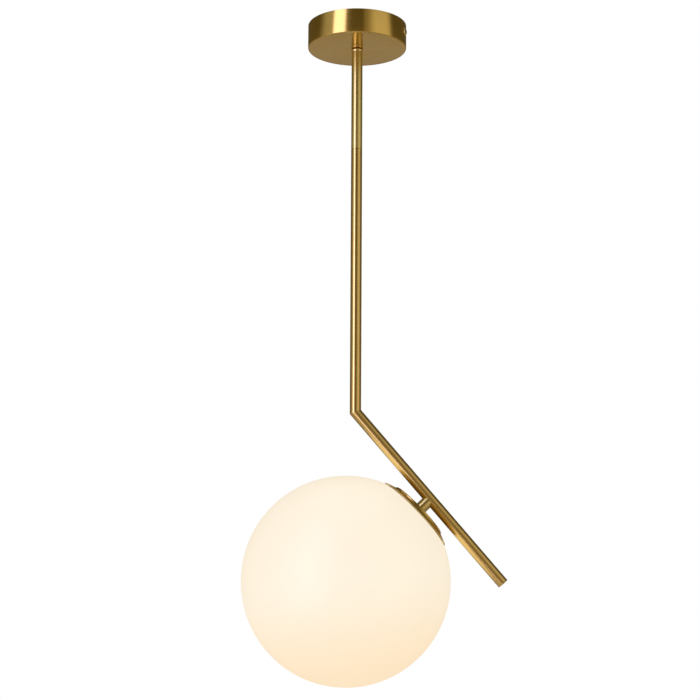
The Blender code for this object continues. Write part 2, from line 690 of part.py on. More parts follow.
def make_swivel_hardware():
    nipple_bottom = UPPER_TUBE_TOP - NIPPLE_GRIP
    ring(
        "top_nipple", NIPPLE_BORE, NIPPLE_RADIUS, nipple_bottom, NIPPLE_TOP, "zinc_steel", sides=TUBE_SIDES
    )
    washer_radius = NIPPLE_RADIUS + WASHER_RIM
    washer_top = WASHER_BASE + WASHER_THICKNESS
    washer = ring("tab_washer", NIPPLE_HOLE, washer_radius, WASHER_BASE, washer_top, "zinc_steel")
    tab = block(
        "washer_tab",
        (NIPPLE_HOLE + NUT_RIM, -TAB_WIDTH / 2, WASHER_BASE),
        (STOP_CIRCLE_RADIUS + TAB_OVERHANG, TAB_WIDTH / 2, washer_top),
        None,
    )
    weld_on(washer, tab)
    lock_radius = NIPPLE_RADIUS + LOCK_WASHER_RIM
    lock_top = LOCK_WASHER_BASE + WASHER_THICKNESS
    lock = ring(
        "lock_washer", NIPPLE_HOLE, lock_radius, LOCK_WASHER_BASE, lock_top, "zinc_steel", sides=TUBE_SIDES
    )
    mill(
        lock,
        (0, -LOCK_WASHER_SLOT / 2, LOCK_WASHER_BASE - GAP),
        (2 * lock_radius, LOCK_WASHER_SLOT / 2, lock_top + GAP),
    )
    hex_nut("hex_nut", NUT_BASE)
    collar_radius = TUBE_RADIUS + COLLAR_OVERSIZE
    collar_bottom = COLLAR_TOP - COLLAR_HEIGHT
    outline = [(NIPPLE_HOLE, collar_bottom), (TUBE_RADIUS, collar_bottom)]
    rounding = (collar_radius - COLLAR_ROUND, COLLAR_TOP - COLLAR_ROUND)
    outline += [(collar_radius, collar_bottom + COLLAR_ROUND)]
    outline += arc(rounding, COLLAR_ROUND, 0, math.pi / 2, steps=2) + [(NIPPLE_HOLE, COLLAR_TOP)]
    turned("rod_collar", outline, "polished_brass", sides=TUBE_SIDES)


def arm_direction():
    return Vector((math.cos(ARM_SLOPE), 0, -math.sin(ARM_SLOPE)))


def head_direction():
    """The globe's axis, pointing from the glass to the arm."""
    return Vector((math.sin(HEAD_TILT), 0, math.cos(HEAD_TILT)))


def bend_point():
    return Vector((0, 0, -BEND_DROP))


def stem_point():
    return bend_point() + arm_direction() * STEM_STATION


def head_matrix():
    """Places the head's local frame: its origin at the globe's centre, its Z axis towards the arm."""
    centre = stem_point() - head_direction() * HEAD_REACH
    return Matrix.Translation(centre) @ Matrix.Rotation(HEAD_TILT, 4, "Y")


def arm_matrix():
    """Places the arm's local frame: its origin at the bend, its Z axis down the arm."""
    return Matrix.Translation(bend_point()) @ Matrix.Rotation(ARM_SLOPE + math.pi / 2, 4, "Y")


def make_tubes(arm_frame, head_frame):
    joint = -TUBE_JOINT_DROP
    upper_end = joint + GAP / 2
    ring(
        "upper_tube", TUBE_BORE, TUBE_RADIUS, upper_end, UPPER_TUBE_TOP, "brushed_brass", sides=TUBE_SIDES
    )
    ring(
        "coupling_nipple",
        NIPPLE_BORE,
        NIPPLE_RADIUS,
        joint - NIPPLE_GRIP,
        joint + NIPPLE_GRIP,
        "zinc_steel",
        sides=TUBE_SIDES,
    )
    tube_end = ARM_LENGTH - PLUG_THICKNESS - GAP
    arm = mitred_tube(
        "bent_arm",
        TUBE_RADIUS,
        TUBE_BORE,
        Vector((0, 0, joint - GAP / 2)),
        bend_point(),
        bend_point() + arm_direction() * tube_end,
        "brushed_brass",
    )
    outside = stem_point() - head_direction() * (TUBE_RADIUS + GAP)
    drill(arm, stem_point(), outside, CABLE_HOLE)
    spigot_end = tube_end + GAP
    spigot_radius = TUBE_BORE - GAP
    outline = [
        (0, spigot_end - PLUG_SPIGOT),
        (spigot_radius, spigot_end - PLUG_SPIGOT),
        (spigot_radius, spigot_end),
        (TUBE_RADIUS, spigot_end),
        (TUBE_RADIUS, ARM_LENGTH - PLUG_CHAMFER),
        (TUBE_RADIUS - PLUG_CHAMFER, ARM_LENGTH),
        (0, ARM_LENGTH),
    ]
    turned("arm_end_plug", outline, "brushed_brass", arm_frame, sides=TUBE_SIDES)
    saddle_top = HEAD_REACH - STEM_SADDLE_DEPTH
    stem = ring(
        "stem", NIPPLE_HOLE, STEM_RADIUS, BOSS_TOP + GAP, saddle_top, "brushed_brass", head_frame, TUBE_SIDES
    )
    along = arm_direction() * 2 * TUBE_DIAMETER
    saddle = rod_between(
        "stem_saddle", stem_point() - along, stem_point() + along, TUBE_RADIUS + GAP, TUBE_SIDES, None
    )
    combine(stem, saddle, "DIFFERENCE")


def make_cap(frame):
    """The boss and the dished cap, which seats on the glass with a thin lip."""
    boss_bottom = CAP_FLOOR_TOP + GAP
    rounding = (BOSS_RADIUS - BOSS_ROUND, BOSS_TOP - BOSS_ROUND)
    outline = [(NIPPLE_HOLE, boss_bottom), (BOSS_RADIUS, boss_bottom)]
    outline += arc(rounding, BOSS_ROUND, 0, math.pi / 2, steps=ARC_STEPS) + [(NIPPLE_HOLE, BOSS_TOP)]
    turned("cap_boss", outline, "brushed_brass", frame)

    recess = BOSS_RADIUS + GAP
    recess_outside = recess + CAP_PLATE
    plate_radius = CAP_OUTER_RADIUS - CAP_PLATE
    lip_start = MOUTH_RADIUS - 2 * GAP
    outline = [(NIPPLE_HOLE, CAP_FLOOR_TOP), (recess, CAP_FLOOR_TOP)]
    outline += sphere_arc(CAP_OUTER_RADIUS, recess, CAP_RADIUS, steps=2)
    outline += sphere_arc(CAP_SEAT_RADIUS, CAP_RADIUS - CAP_LIP_THICKNESS / 2, lip_start, steps=1)
    outline += sphere_arc(plate_radius, lip_start - CAP_LIP_THICKNESS, recess_outside, steps=1)
    outline += [(recess_outside, CAP_FLOOR_BOTTOM), (NIPPLE_HOLE, CAP_FLOOR_BOTTOM)]
    turned("cap_dish", outline, "brushed_brass", frame)


def make_hub(frame):
    hub_radius = THREAD_RADIUS - GAP
    plate_bottom = HUB_TOP - HUB_PLATE
    skirt = hub_radius - HUB_WALL
    outline = [(NIPPLE_HOLE, HUB_TOP), (hub_radius, HUB_TOP), (hub_radius, HUB_BOTTOM)]
    outline += [(skirt, HUB_BOTTOM), (skirt, plate_bottom), (NIPPLE_HOLE, plate_bottom)]
    turned("thread_hub", outline, "aluminium", frame)
    hex_nut("head_nut", HEAD_NUT_TOP - NUT_HEIGHT, frame)
    top = HEAD_REACH - TUBE_RADIUS - HEAD_NIPPLE_SINK
    bottom = HOLDER_TOP - HOLDER_WALL - NIPPLE_PROUD
    ring("head_nipple", NIPPLE_BORE, NIPPLE_RADIUS, bottom, top, "zinc_steel", frame, TUBE_SIDES)


def make_lampholder(frame):
    inner = HOLDER_RADIUS - HOLDER_WALL
    cap_bottom = HOLDER_SPLIT + GAP
    cap_roof = HOLDER_TOP - HOLDER_WALL
    edge = (HOLDER_RADIUS - HOLDER_EDGE_ROUND, HOLDER_TOP - HOLDER_EDGE_ROUND)
    outline = [(inner, cap_bottom), (HOLDER_RADIUS, cap_bottom)]
    outline += arc(edge, HOLDER_EDGE_ROUND, 0, math.pi / 2, steps=ARC_STEPS)
    outline += [(NIPPLE_HOLE, HOLDER_TOP), (NIPPLE_HOLE, cap_roof), (inner, cap_roof)]
    turned("lampholder_cap", outline, "black_plastic", frame, TUBE_SIDES)

    block_bottom = CONTACT_BLOCK_BOTTOM
    body_bottom = HOLDER_SPLIT - HOLDER_BODY_HEIGHT
    shell_outer = SHELL_BORE + SHELL_WALL
    seat = block_bottom - GAP - SHELL_WALL - GAP
    outline = [(inner, HOLDER_SPLIT), (inner, seat), (shell_outer + GAP, seat)]
    outline += [(shell_outer + GAP, body_bottom), (HOLDER_RADIUS, body_bottom)]
    outline += [(HOLDER_RADIUS, HOLDER_SPLIT)]
    turned("lampholder_body", outline, "black_plastic", frame, TUBE_SIDES)

    outline = [(0, block_bottom), (inner - GAP, block_bottom)]
    outline += [(inner - GAP, HOLDER_SPLIT), (0, HOLDER_SPLIT)]
    turned("contact_block", outline, "steatite", frame, TUBE_SIDES)

    flange_top = block_bottom - GAP
    flange_inner = CONTACT_STRIP_HALF_LENGTH + 2 * GAP
    outline = [(flange_inner, flange_top), (shell_outer, flange_top)]
    outline += [(shell_outer, flange_top - SHELL_HEIGHT), (SHELL_BORE, flange_top - SHELL_HEIGHT)]
    outline += [(SHELL_BORE, flange_top - SHELL_WALL), (flange_inner, flange_top - SHELL_WALL)]
    turned("holder_shell", outline, "plain_brass", frame, TUBE_SIDES)

    half, thick, drop = CONTACT_STRIP_HALF_LENGTH, CONTACT_STRIP_THICKNESS, CONTACT_STRIP_DROP
    upper = [(half, 0), (half / 2, 0), (half / 4, -drop)]
    upper += [(-x, z) for x, z in reversed(upper)]
    outline = [(x, flange_top + z) for x, z in upper]
    outline += [(x, flange_top + z - thick) for x, z in reversed(upper)]
    extruded("centre_contact", outline, CONTACT_STRIP_WIDTH / 2, "plain_brass", frame)

    grip_top = HOLDER_TOP - HOLDER_WALL - NIPPLE_PROUD - GAP
    grip_hole = CABLE_RADIUS + GAP
    grip_bottom = grip_top - GRIP_HEIGHT
    grip_outer = grip_hole + GRIP_WALL
    ring("cord_grip", grip_hole, grip_outer, grip_bottom, grip_top, "white_plastic", frame, TUBE_SIDES)
    sheath_end = grip_bottom - GAP
    for name, finish, side in (
        ("holder_live_lead", "brown_core", 1),
        ("holder_neutral_lead", "blue_core", -1),
    ):
        start = Vector((side * CORE_CIRCLE_RADIUS, 0, sheath_end - GAP))
        below = start - Vector((0, 0, LEAD_BEND))
        end = Vector((side * HOLDER_LEAD_OFFSET, 0, HOLDER_SPLIT + GAP))
        above = Vector((end.x, 0, below.z))
        route = rounded_route((start, below, above, end), LEAD_BEND / 3, steps=ARC_STEPS)
        lead(name, route, LEAD_RADIUS, finish, frame)
    return sheath_end


def make_lamp_cable(sheath_end):
    """The sheathed cable: up out of the nipple, down the rod, along the arm and through the stem."""
    head = head_matrix()
    route = (
        Vector((0, 0, NIPPLE_TOP + CABLE_ABOVE_NIPPLE)),
        bend_point(),
        stem_point(),
        head @ Vector((0, 0, sheath_end)),
    )
    at_bend = rounded_route(route[:3], CABLE_BEND)
    at_stem = rounded_route(route[1:], CABLE_STEM_TURN)
    lead("lamp_cable", at_bend[:-1] + at_stem[1:], CABLE_RADIUS, "white_sheath")


# ---- Globe --------------------------------------------------------------------------------------


def make_globe(frame):
    inner = GLOBE_RADIUS - GLASS_WALL
    rows = 10
    outside_angle = math.acos(MOUTH_RADIUS / GLOBE_RADIUS)
    inside_angle = math.acos(MOUTH_RADIUS / inner)
    bottom = -math.pi / 2
    outline = arc((0, 0), GLOBE_RADIUS, bottom, outside_angle, steps=rows)[1:]
    outline += arc((0, 0), inner, inside_angle, bottom, steps=rows)[:-1]
    outline = [(0, -GLOBE_RADIUS)] + outline + [(0, -inner)]
    turned("glass_globe", outline, "opal_glass", frame)

    ring_bottom = NECK_RING_TOP - NECK_RING_HEIGHT
    ring("neck_ring", THREAD_RADIUS, NECK_RING_OUTER, ring_bottom, NECK_RING_TOP, "aluminium", frame)
    gasket_bottom = GASKET_TOP - GASKET_THICKNESS
    ring(
        "globe_gasket",
        THREAD_RADIUS + GASKET_MARGIN,
        NECK_RING_OUTER - GASKET_MARGIN,
        gasket_bottom,
        GASKET_TOP,
        "silicone",
        frame,
    )


# ---- Lamp ---------------------------------------------------------------------------------------


def make_lamp(frame):
    tip_bottom = LAMP_TOP - LAMP_TIP_HEIGHT
    shoulder = LAMP_TIP_RADIUS - LAMP_TIP_HEIGHT / 2
    outline = [(0, tip_bottom + GAP), (LAMP_TIP_RADIUS, tip_bottom + GAP)]
    outline += [(LAMP_TIP_RADIUS, LAMP_TOP - LAMP_TIP_HEIGHT / 2), (shoulder, LAMP_TOP), (0, LAMP_TOP)]
    turned("lamp_tip_contact", outline, "plain_brass", frame, SMALL_SIDES)

    cap_mouth = LAMP_CAP_RADIUS - LAMP_TIP_HEIGHT
    outline = [(0, LAMP_CAP_TOP + GAP), (cap_mouth, LAMP_CAP_TOP + GAP)]
    outline += [(LAMP_TIP_RADIUS, tip_bottom), (0, tip_bottom)]
    turned("lamp_insulator", outline, "black_plastic", frame, TUBE_SIDES)

    cap_inner = LAMP_CAP_RADIUS - LAMP_CAP_WALL
    cap_bottom = LAMP_CAP_TOP - LAMP_CAP_HEIGHT
    cap_shoulder = LAMP_CAP_TOP - LAMP_TIP_HEIGHT
    outline = [(cap_mouth, LAMP_CAP_TOP), (LAMP_CAP_RADIUS, cap_shoulder), (LAMP_CAP_RADIUS, cap_bottom)]
    outline += [(cap_inner, cap_bottom), (cap_inner, cap_shoulder - GAP)]
    outline.append((cap_mouth - LAMP_CAP_WALL, LAMP_CAP_TOP))
    turned("lamp_cap_shell", outline, "aluminium", frame, TUBE_SIDES)

    wall = LAMP_PLASTIC_WALL
    rim_radius = LAMP_RADIUS - LAMP_RIM_INSET
    board_top = LAMP_RIM + GAP + LED_BOARD_THICKNESS
    collar = cap_inner - GAP
    spigot_top = cap_bottom + LAMP_SHOULDER / 2
    cone_top = cap_bottom - GAP
    ledge = rim_radius - 2 * wall
    outline = [(rim_radius, LAMP_RIM), (rim_radius, board_top + wall), (LAMP_CAP_RADIUS, cone_top)]
    outline += [(collar, cone_top), (collar, spigot_top), (collar - wall, spigot_top)]
    outline += [(collar - wall, cone_top), (ledge, board_top + GAP), (rim_radius - wall, board_top + GAP)]
    outline += [(rim_radius - wall, LAMP_RIM)]
    turned("lamp_housing", outline, "white_plastic", frame, TUBE_SIDES)

    board_radius = rim_radius - wall - GAP
    ring("lamp_led_board", 2 * wall, board_radius, LAMP_RIM + GAP, board_top, "aluminium", frame, TUBE_SIDES)

    driver_bottom = board_top + wall
    half_width, half_thickness = DRIVER_WIDTH / 2, DRIVER_THICKNESS / 2
    block(
        "lamp_driver_board",
        (-half_width, -half_thickness, driver_bottom),
        (half_width, half_thickness, driver_bottom + DRIVER_HEIGHT),
        "circuit_board",
        frame,
    )

    centre = LAMP_TOP - LAMP_LENGTH + LAMP_RADIUS
    inner = LAMP_RADIUS - wall
    neck = rim_radius - wall
    diffuser_top = LAMP_RIM - GAP
    outline = arc((0, centre), LAMP_RADIUS, -math.pi / 2, 0, steps=6)
    outline += [(rim_radius, diffuser_top), (neck, diffuser_top)]
    outline += arc((0, centre), inner, 0, -math.pi / 2, steps=6)
    outline[0] = (0, centre - LAMP_RADIUS)
    outline[-1] = (0, centre - inner)
    turned("lamp_diffuser", outline, "opal_glass", frame, TUBE_SIDES)


def main():
    clear_scene()
    bracket_frame = new_frame("bracket_frame", Matrix.Rotation(BRACKET_TURN, 4, "Z"))
    arm_frame = new_frame("arm_frame", arm_matrix())
    head_frame = new_frame("head_frame", head_matrix())

    make_canopy(bracket_frame)
    make_bracket(bracket_frame)
    make_side_screws(bracket_frame)
    make_terminals(bracket_frame)
    make_earth_point(bracket_frame)
    make_ceiling_wiring(bracket_frame)

    make_swivel_hardware()
    make_tubes(arm_frame, head_frame)
    make_cap(head_frame)
    make_hub(head_frame)
    make_lamp_cable(make_lampholder(head_frame))

    make_globe(head_frame)
    make_lamp(head_frame)
    bpy.context.view_layer.update()


main()
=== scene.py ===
"""The looks of the pendant ceiling light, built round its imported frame.

The light hangs from a brass canopy on the ceiling. A brass rod runs down and turns sharply into an
arm, and a short stem on the arm carries a dished cap with a lit opal glass globe.
"""

import json
import logging
import math
from dataclasses import dataclass, field
from enum import Enum
from typing import Any, Sequence

import bmesh
import bpy
from mathutils import Euler, Matrix, Vector


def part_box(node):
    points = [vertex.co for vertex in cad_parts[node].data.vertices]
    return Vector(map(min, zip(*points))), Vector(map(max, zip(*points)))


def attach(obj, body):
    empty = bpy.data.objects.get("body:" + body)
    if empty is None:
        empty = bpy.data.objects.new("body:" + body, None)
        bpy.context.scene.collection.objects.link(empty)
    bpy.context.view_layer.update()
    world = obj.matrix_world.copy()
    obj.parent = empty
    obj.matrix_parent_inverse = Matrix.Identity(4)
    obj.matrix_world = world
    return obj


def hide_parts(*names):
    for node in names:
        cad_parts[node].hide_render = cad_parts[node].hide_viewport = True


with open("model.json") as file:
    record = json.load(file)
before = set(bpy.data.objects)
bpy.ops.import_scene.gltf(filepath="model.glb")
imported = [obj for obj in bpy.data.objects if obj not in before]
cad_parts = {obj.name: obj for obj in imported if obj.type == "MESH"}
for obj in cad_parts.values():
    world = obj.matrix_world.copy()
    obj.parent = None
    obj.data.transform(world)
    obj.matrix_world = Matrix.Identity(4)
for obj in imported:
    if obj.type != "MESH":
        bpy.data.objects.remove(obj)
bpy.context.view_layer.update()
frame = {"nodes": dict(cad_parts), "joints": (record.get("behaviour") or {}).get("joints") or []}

LOG = logging.getLogger("pendant")

MM = 0.001
# Pieces that touch in the real light stand this far apart, as the frame's own solids do.
GAP = 0.3 * MM
# A point nearer to the axis than this is on it.
ON_AXIS = 1e-7

ROUND_SIDES = 160
TUBE_SIDES = 96
SMALL_SIDES = 48
FILLET_STEPS = 5
DOME_STEPS = 24
SHARP_ANGLE = math.radians(38)

Point = tuple[float, float]
Corner = tuple[float, float, float]


class Body(Enum):
    """The moving bodies of the light, by the names that the frame gives them."""

    CEILING = "ceiling_side"
    HANGING = "hanging_frame"
    GASKET = "globe_thread"
    GLOBE = "globe"
    LAMP_TIP = "lamp_thread"
    LAMP = "lamp"


# ---- Colours and material nodes -----------------------------------------------------------------


def srgb(code: str) -> tuple[float, float, float, float]:
    """Turns a hex colour into linear light.

    Args:
        code: An sRGB colour such as "#C9A24B".

    Returns:
        Linear red, green and blue, and an alpha of 1.
    """
    parts = [int(code[i : i + 2], 16) / 255 for i in (1, 3, 5)]
    linear = [c / 12.92 if c <= 0.04045 else ((c + 0.055) / 1.055) ** 2.4 for c in parts]
    return (*linear, 1.0)


def add_node(
    tree: bpy.types.NodeTree,
    kind: str,
    inputs: dict[Any, Any] | None = None,
    **settings: Any,
) -> bpy.types.Node:
    """Adds a node with its settings, its input values and its links.

    Args:
        tree: The node tree that gets the node.
        kind: The node's type, such as "ShaderNodeTexNoise".
        inputs: What each input socket, by name or index, gets: a value, or an output to link.
        **settings: The node's own properties.

    Returns:
        The new node.
    """
    node = tree.nodes.new(kind)
    for key, value in settings.items():
        setattr(node, key, value)
    for key, value in (inputs or {}).items():
        socket = node.inputs[key]
        if isinstance(value, bpy.types.NodeSocket):
            tree.links.new(value, socket)
        else:
            socket.default_value = value
    return node


def set_ramp(node: bpy.types.Node, stops: Sequence[tuple[float, Any]]) -> None:
    """Gives a colour ramp its stops.

    Args:
        node: The Color Ramp node.
        stops: Each stop's place from 0 to 1 and its colour.
    """
    elements = node.color_ramp.elements
    while len(elements) > 1:
        elements.remove(elements[-1])
    elements[0].position, elements[0].color = stops[0]
    for place, colour in stops[1:]:
        elements.new(place).color = colour


@dataclass(frozen=True)
class Finish:
    """What every finish shares: a name, and a pattern placed on the piece by a Mapping node."""

    name: str

    def material(self, placed: Matrix) -> bpy.types.Material:
        """Builds the finish for a piece.

        Args:
            placed: Where the piece's own axes are, so that the pattern follows them.

        Returns:
            The new material.
        """
        made = bpy.data.materials.new(self.name)
        made.use_nodes = True
        tree = made.node_tree
        shader = tree.nodes["Principled BSDF"]
        coordinates = add_node(tree, "ShaderNodeTexCoord")
        back = placed.inverted()
        mapping = add_node(
            tree,
            "ShaderNodeMapping",
            {
                "Vector": coordinates.outputs["Object"],
                "Location": back.translation,
                "Rotation": back.to_euler("XYZ"),
            },
        )
        self.dress(tree, shader, mapping.outputs["Vector"])
        return made

    def dress(
        self, tree: bpy.types.NodeTree, shader: bpy.types.Node, place: bpy.types.NodeSocket
    ) -> None:
        """Adds this finish's own nodes.

        Args:
            tree: The material's node tree.
            shader: Its Principled BSDF.
            place: The point on the piece, in metres from the piece's own origin.
        """
        raise NotImplementedError

    @staticmethod
    def noise(
        tree: bpy.types.NodeTree,
        place: bpy.types.NodeSocket,
        size: float,
        detail: float = 2.0,
        stretch: tuple[float, float, float] = (1.0, 1.0, 1.0),
    ) -> bpy.types.NodeSocket:
        """Adds a noise whose spots have a real size.

        Args:
            tree: The material's node tree.
            place: The point to read it at.
            size: The width of a spot, in metres.
            detail: How many finer layers it has.
            stretch: How much each axis is squeezed.

        Returns:
            The noise's value, from 0 to 1.
        """
        scaled = add_node(
            tree, "ShaderNodeVectorMath", {0: place, 1: stretch}, operation="MULTIPLY"
        )
        texture = add_node(
            tree,
            "ShaderNodeTexNoise",
            {"Vector": scaled.outputs[0], "Scale": 1 / size, "Detail": detail, "Roughness": 0.55},
        )
        return texture.outputs["Fac"]

    @staticmethod
    def between(
        tree: bpy.types.NodeTree,
        amount: bpy.types.NodeSocket,
        low: Any,
        high: Any,
        start: float = 0.35,
        end: float = 0.65,
    ) -> bpy.types.NodeSocket:
        """Fades between two values or two colours.

        Args:
            tree: The material's node tree.
            amount: What the fade follows.
            low: The number or the colour at its start.
            high: The number or the colour at its end.
            start: The amount at which the fade starts.
            end: The amount at which it ends.

        Returns:
            The faded number or colour.
        """
        if isinstance(low, tuple):
            ramp = add_node(tree, "ShaderNodeValToRGB", {"Fac": amount})
            set_ramp(ramp, [(start, low), (end, high)])
            return ramp.outputs["Color"]
        span = {"From Min": start, "From Max": end, "To Min": low, "To Max": high}
        return add_node(tree, "ShaderNodeMapRange", {"Value": amount, **span}).outputs["Result"]

    @staticmethod
    def raise_surface(
        tree: bpy.types.NodeTree,
        shader: bpy.types.Node,
        height: bpy.types.NodeSocket,
        depth: float,
        strength: float = 1.0,
    ) -> None:
        """Adds a bump to the surface.

        Args:
            tree: The material's node tree.
            shader: Its Principled BSDF.
            height: The relief, from 0 to 1.
            depth: The relief's depth, in metres.
            strength: How much of it shows.
        """
        bump = add_node(
            tree, "ShaderNodeBump", {"Height": height, "Distance": depth, "Strength": strength}
        )
        tree.links.new(bump.outputs["Normal"], shader.inputs["Normal"])


@dataclass(frozen=True)
class BrushedBrass(Finish):
    """Brass sheet or tube, brushed round its axis with fine grit and clear lacquered.

    The eye sees hair lines that run round the piece, a slightly uneven tone, and sharp reflections
    of tall lights with a thin white gloss from the lacquer on top.
    """

    light: str = "#EED286"
    dark: str = "#E5C77B"
    roughness: float = 0.21
    # Fine lines scatter light across themselves, so a reflection is drawn out along the axis.
    stretch: float = 0.6
    # The real lines are about 0.1 mm apart; they are drawn wider so that they show at all.
    line: float = 0.6 * MM
    relief: float = 0.0002 * MM
    cloud: float = 14 * MM
    lacquer: float = 0.06

    def dress(
        self, tree: bpy.types.NodeTree, shader: bpy.types.Node, place: bpy.types.NodeSocket
    ) -> None:
        """Adds the hair lines, their drawn-out gloss, the uneven tone and the lacquer.

        Args:
            tree: The material's node tree.
            shader: Its Principled BSDF.
            place: The point on the piece, in metres from the piece's own origin.
        """
        across = add_node(
            tree, "ShaderNodeVectorMath", {0: place, 1: (1, 1, 0)}, operation="MULTIPLY"
        )
        radius = add_node(
            tree, "ShaderNodeVectorMath", {0: across.outputs[0]}, operation="LENGTH"
        )
        apart = add_node(tree, "ShaderNodeSeparateXYZ", {0: place})
        along = add_node(
            tree,
            "ShaderNodeMath",
            {0: apart.outputs["Z"], 1: radius.outputs["Value"]},
            operation="ADD",
        )
        ringed = add_node(
            tree,
            "ShaderNodeCombineXYZ",
            {"X": apart.outputs["X"], "Y": apart.outputs["Y"], "Z": along.outputs[0]},
        )
        # A line is about 60 times as long as it is wide.
        lines = self.noise(tree, ringed.outputs[0], self.line, 3.0, (1 / 60, 1 / 60, 1.0))
        cloud = self.noise(tree, ringed.outputs[0], self.cloud, 2.0)
        tone = add_node(tree, "ShaderNodeMath", {0: lines, 1: 0.55}, operation="MULTIPLY")
        mixed = add_node(
            tree,
            "ShaderNodeMath",
            {0: cloud, 1: 0.45, 2: tone.outputs[0]},
            operation="MULTIPLY_ADD",
        )
        colour = self.between(tree, mixed.outputs[0], srgb(self.dark), srgb(self.light))
        tree.links.new(colour, shader.inputs["Base Color"])
        rough = self.between(tree, lines, self.roughness * 0.9, self.roughness * 1.1)
        tree.links.new(rough, shader.inputs["Roughness"])
        self.raise_surface(tree, shader, lines, self.relief)
        tree.links.new(self.around(tree, place), shader.inputs["Tangent"])
        shader.inputs["Metallic"].default_value = 1.0
        shader.inputs["Anisotropic"].default_value = self.stretch
        shader.inputs["Anisotropic Rotation"].default_value = 0.25
        shader.inputs["Coat Weight"].default_value = self.lacquer
        shader.inputs["Coat Roughness"].default_value = 0.1

    @staticmethod
    def around(tree: bpy.types.NodeTree, place: bpy.types.NodeSocket) -> bpy.types.NodeSocket:
        """Finds the direction of the brushing, round the piece's axis.

        Args:
            tree: The material's node tree.
            place: The point on the piece, from the Mapping node.

        Returns:
            The direction, in the world's axes.
        """
        mapping = place.node
        back = Euler(mapping.inputs["Rotation"].default_value, "XYZ").to_matrix().inverted()
        radial = add_node(
            tree, "ShaderNodeVectorMath", {0: place, 1: (1, 1, 0)}, operation="MULTIPLY"
        )
        turned = add_node(
            tree,
            "ShaderNodeVectorMath",
            {0: (0, 0, 1), 1: radial.outputs[0]},
            operation="CROSS_PRODUCT",
        )
        rotation = add_node(
            tree,
            "ShaderNodeMapping",
            {"Vector": turned.outputs[0], "Rotation": back.to_euler("XYZ")},
            vector_type="VECTOR",
        )
        world = add_node(
            tree,
            "ShaderNodeVectorTransform",
            {0: rotation.outputs[0]},
            vector_type="VECTOR",
            convert_from="OBJECT",
            convert_to="WORLD",
        )
        length = add_node(
            tree, "ShaderNodeVectorMath", {0: world.outputs[0]}, operation="NORMALIZE"
        )
        return length.outputs[0]


@dataclass(frozen=True)
class TurnedMetal(Finish):
    """Metal left as the lathe or the plating bath leaves it.

    The eye sees a fairly even metal with faint turning rings and small cloudy changes in gloss.
    """

    light: str = "#D9D9DA"
    dark: str = "#B5B6B8"
    roughness: float = 0.3
    ring: float = 0.35 * MM
    relief: float = 0.004 * MM

    def dress(
        self, tree: bpy.types.NodeTree, shader: bpy.types.Node, place: bpy.types.NodeSocket
    ) -> None:
        """Adds the turning rings and the cloudy gloss.

        Args:
            tree: The material's node tree.
            shader: Its Principled BSDF.
            place: The point on the piece, in metres from the piece's own origin.
        """
        rings = self.noise(tree, place, self.ring, 2.0, (1 / 25, 1 / 25, 1.0))
        cloud = self.noise(tree, place, 5 * MM, 3.0)
        tree.links.new(
            self.between(tree, cloud, srgb(self.dark), srgb(self.light), 0.3, 0.7),
            shader.inputs["Base Color"],
        )
        tree.links.new(
            self.between(tree, cloud, self.roughness * 1.25, self.roughness * 0.8, 0.3, 0.7),
            shader.inputs["Roughness"],
        )
        self.raise_surface(tree, shader, rings, self.relief)
        shader.inputs["Metallic"].default_value = 1.0


@dataclass(frozen=True)
class OpalGlass(Finish):
    """Blown opal glass, three layers thick, with a lamp lit inside it.

    The eye sees an even creamy glow that warms towards the side away from the lamp's base, a satin
    etched outer skin that darkens at the rim, and very soft ripples from blowing.
    """

    glow: str = "#FFF3DE"
    warm: str = "#FFE7C3"
    glow_strength: float = 0.95
    body: tuple[str, str] = ("#58544D", "#5E5A53")
    radius: float = 100 * MM
    down: tuple[float, float, float] = (0.0, 0.0, -1.0)

    def dress(
        self, tree: bpy.types.NodeTree, shader: bpy.types.Node, place: bpy.types.NodeSocket
    ) -> None:
        """Adds the glow, its warm side, the ripples and the satin skin.

        Args:
            tree: The material's node tree.
            shader: Its Principled BSDF.
            place: The point on the piece, in metres from the piece's own origin.
        """
        height = add_node(
            tree, "ShaderNodeVectorMath", {0: place, 1: self.down}, operation="DOT_PRODUCT"
        )
        cloud = self.noise(tree, place, 70 * MM, 1.0)
        share = add_node(
            tree,
            "ShaderNodeMapRange",
            {
                "Value": height.outputs["Value"],
                "From Min": 0.0,
                "From Max": self.radius,
            },
            interpolation_type="SMOOTHSTEP",
        )
        uneven = add_node(
            tree,
            "ShaderNodeMath",
            {0: cloud, 1: 0.08, 2: share.outputs["Result"]},
            operation="MULTIPLY_ADD",
        )
        colour = self.between(
            tree, uneven.outputs[0], srgb(self.glow), srgb(self.warm), 0.04, 1.04
        )
        tree.links.new(colour, shader.inputs["Emission Color"])
        ripple = self.noise(tree, place, 30 * MM, 1.0)
        self.raise_surface(tree, shader, ripple, 0.05 * MM, 0.5)
        tree.links.new(
            self.between(tree, ripple, *(srgb(code) for code in self.body)),
            shader.inputs["Base Color"],
        )
        shader.inputs["Emission Strength"].default_value = self.glow_strength
        shader.inputs["Roughness"].default_value = 0.5
        shader.inputs["Coat Weight"].default_value = 0.35
        shader.inputs["Coat Roughness"].default_value = 0.36
        shader.inputs["Coat IOR"].default_value = 1.52


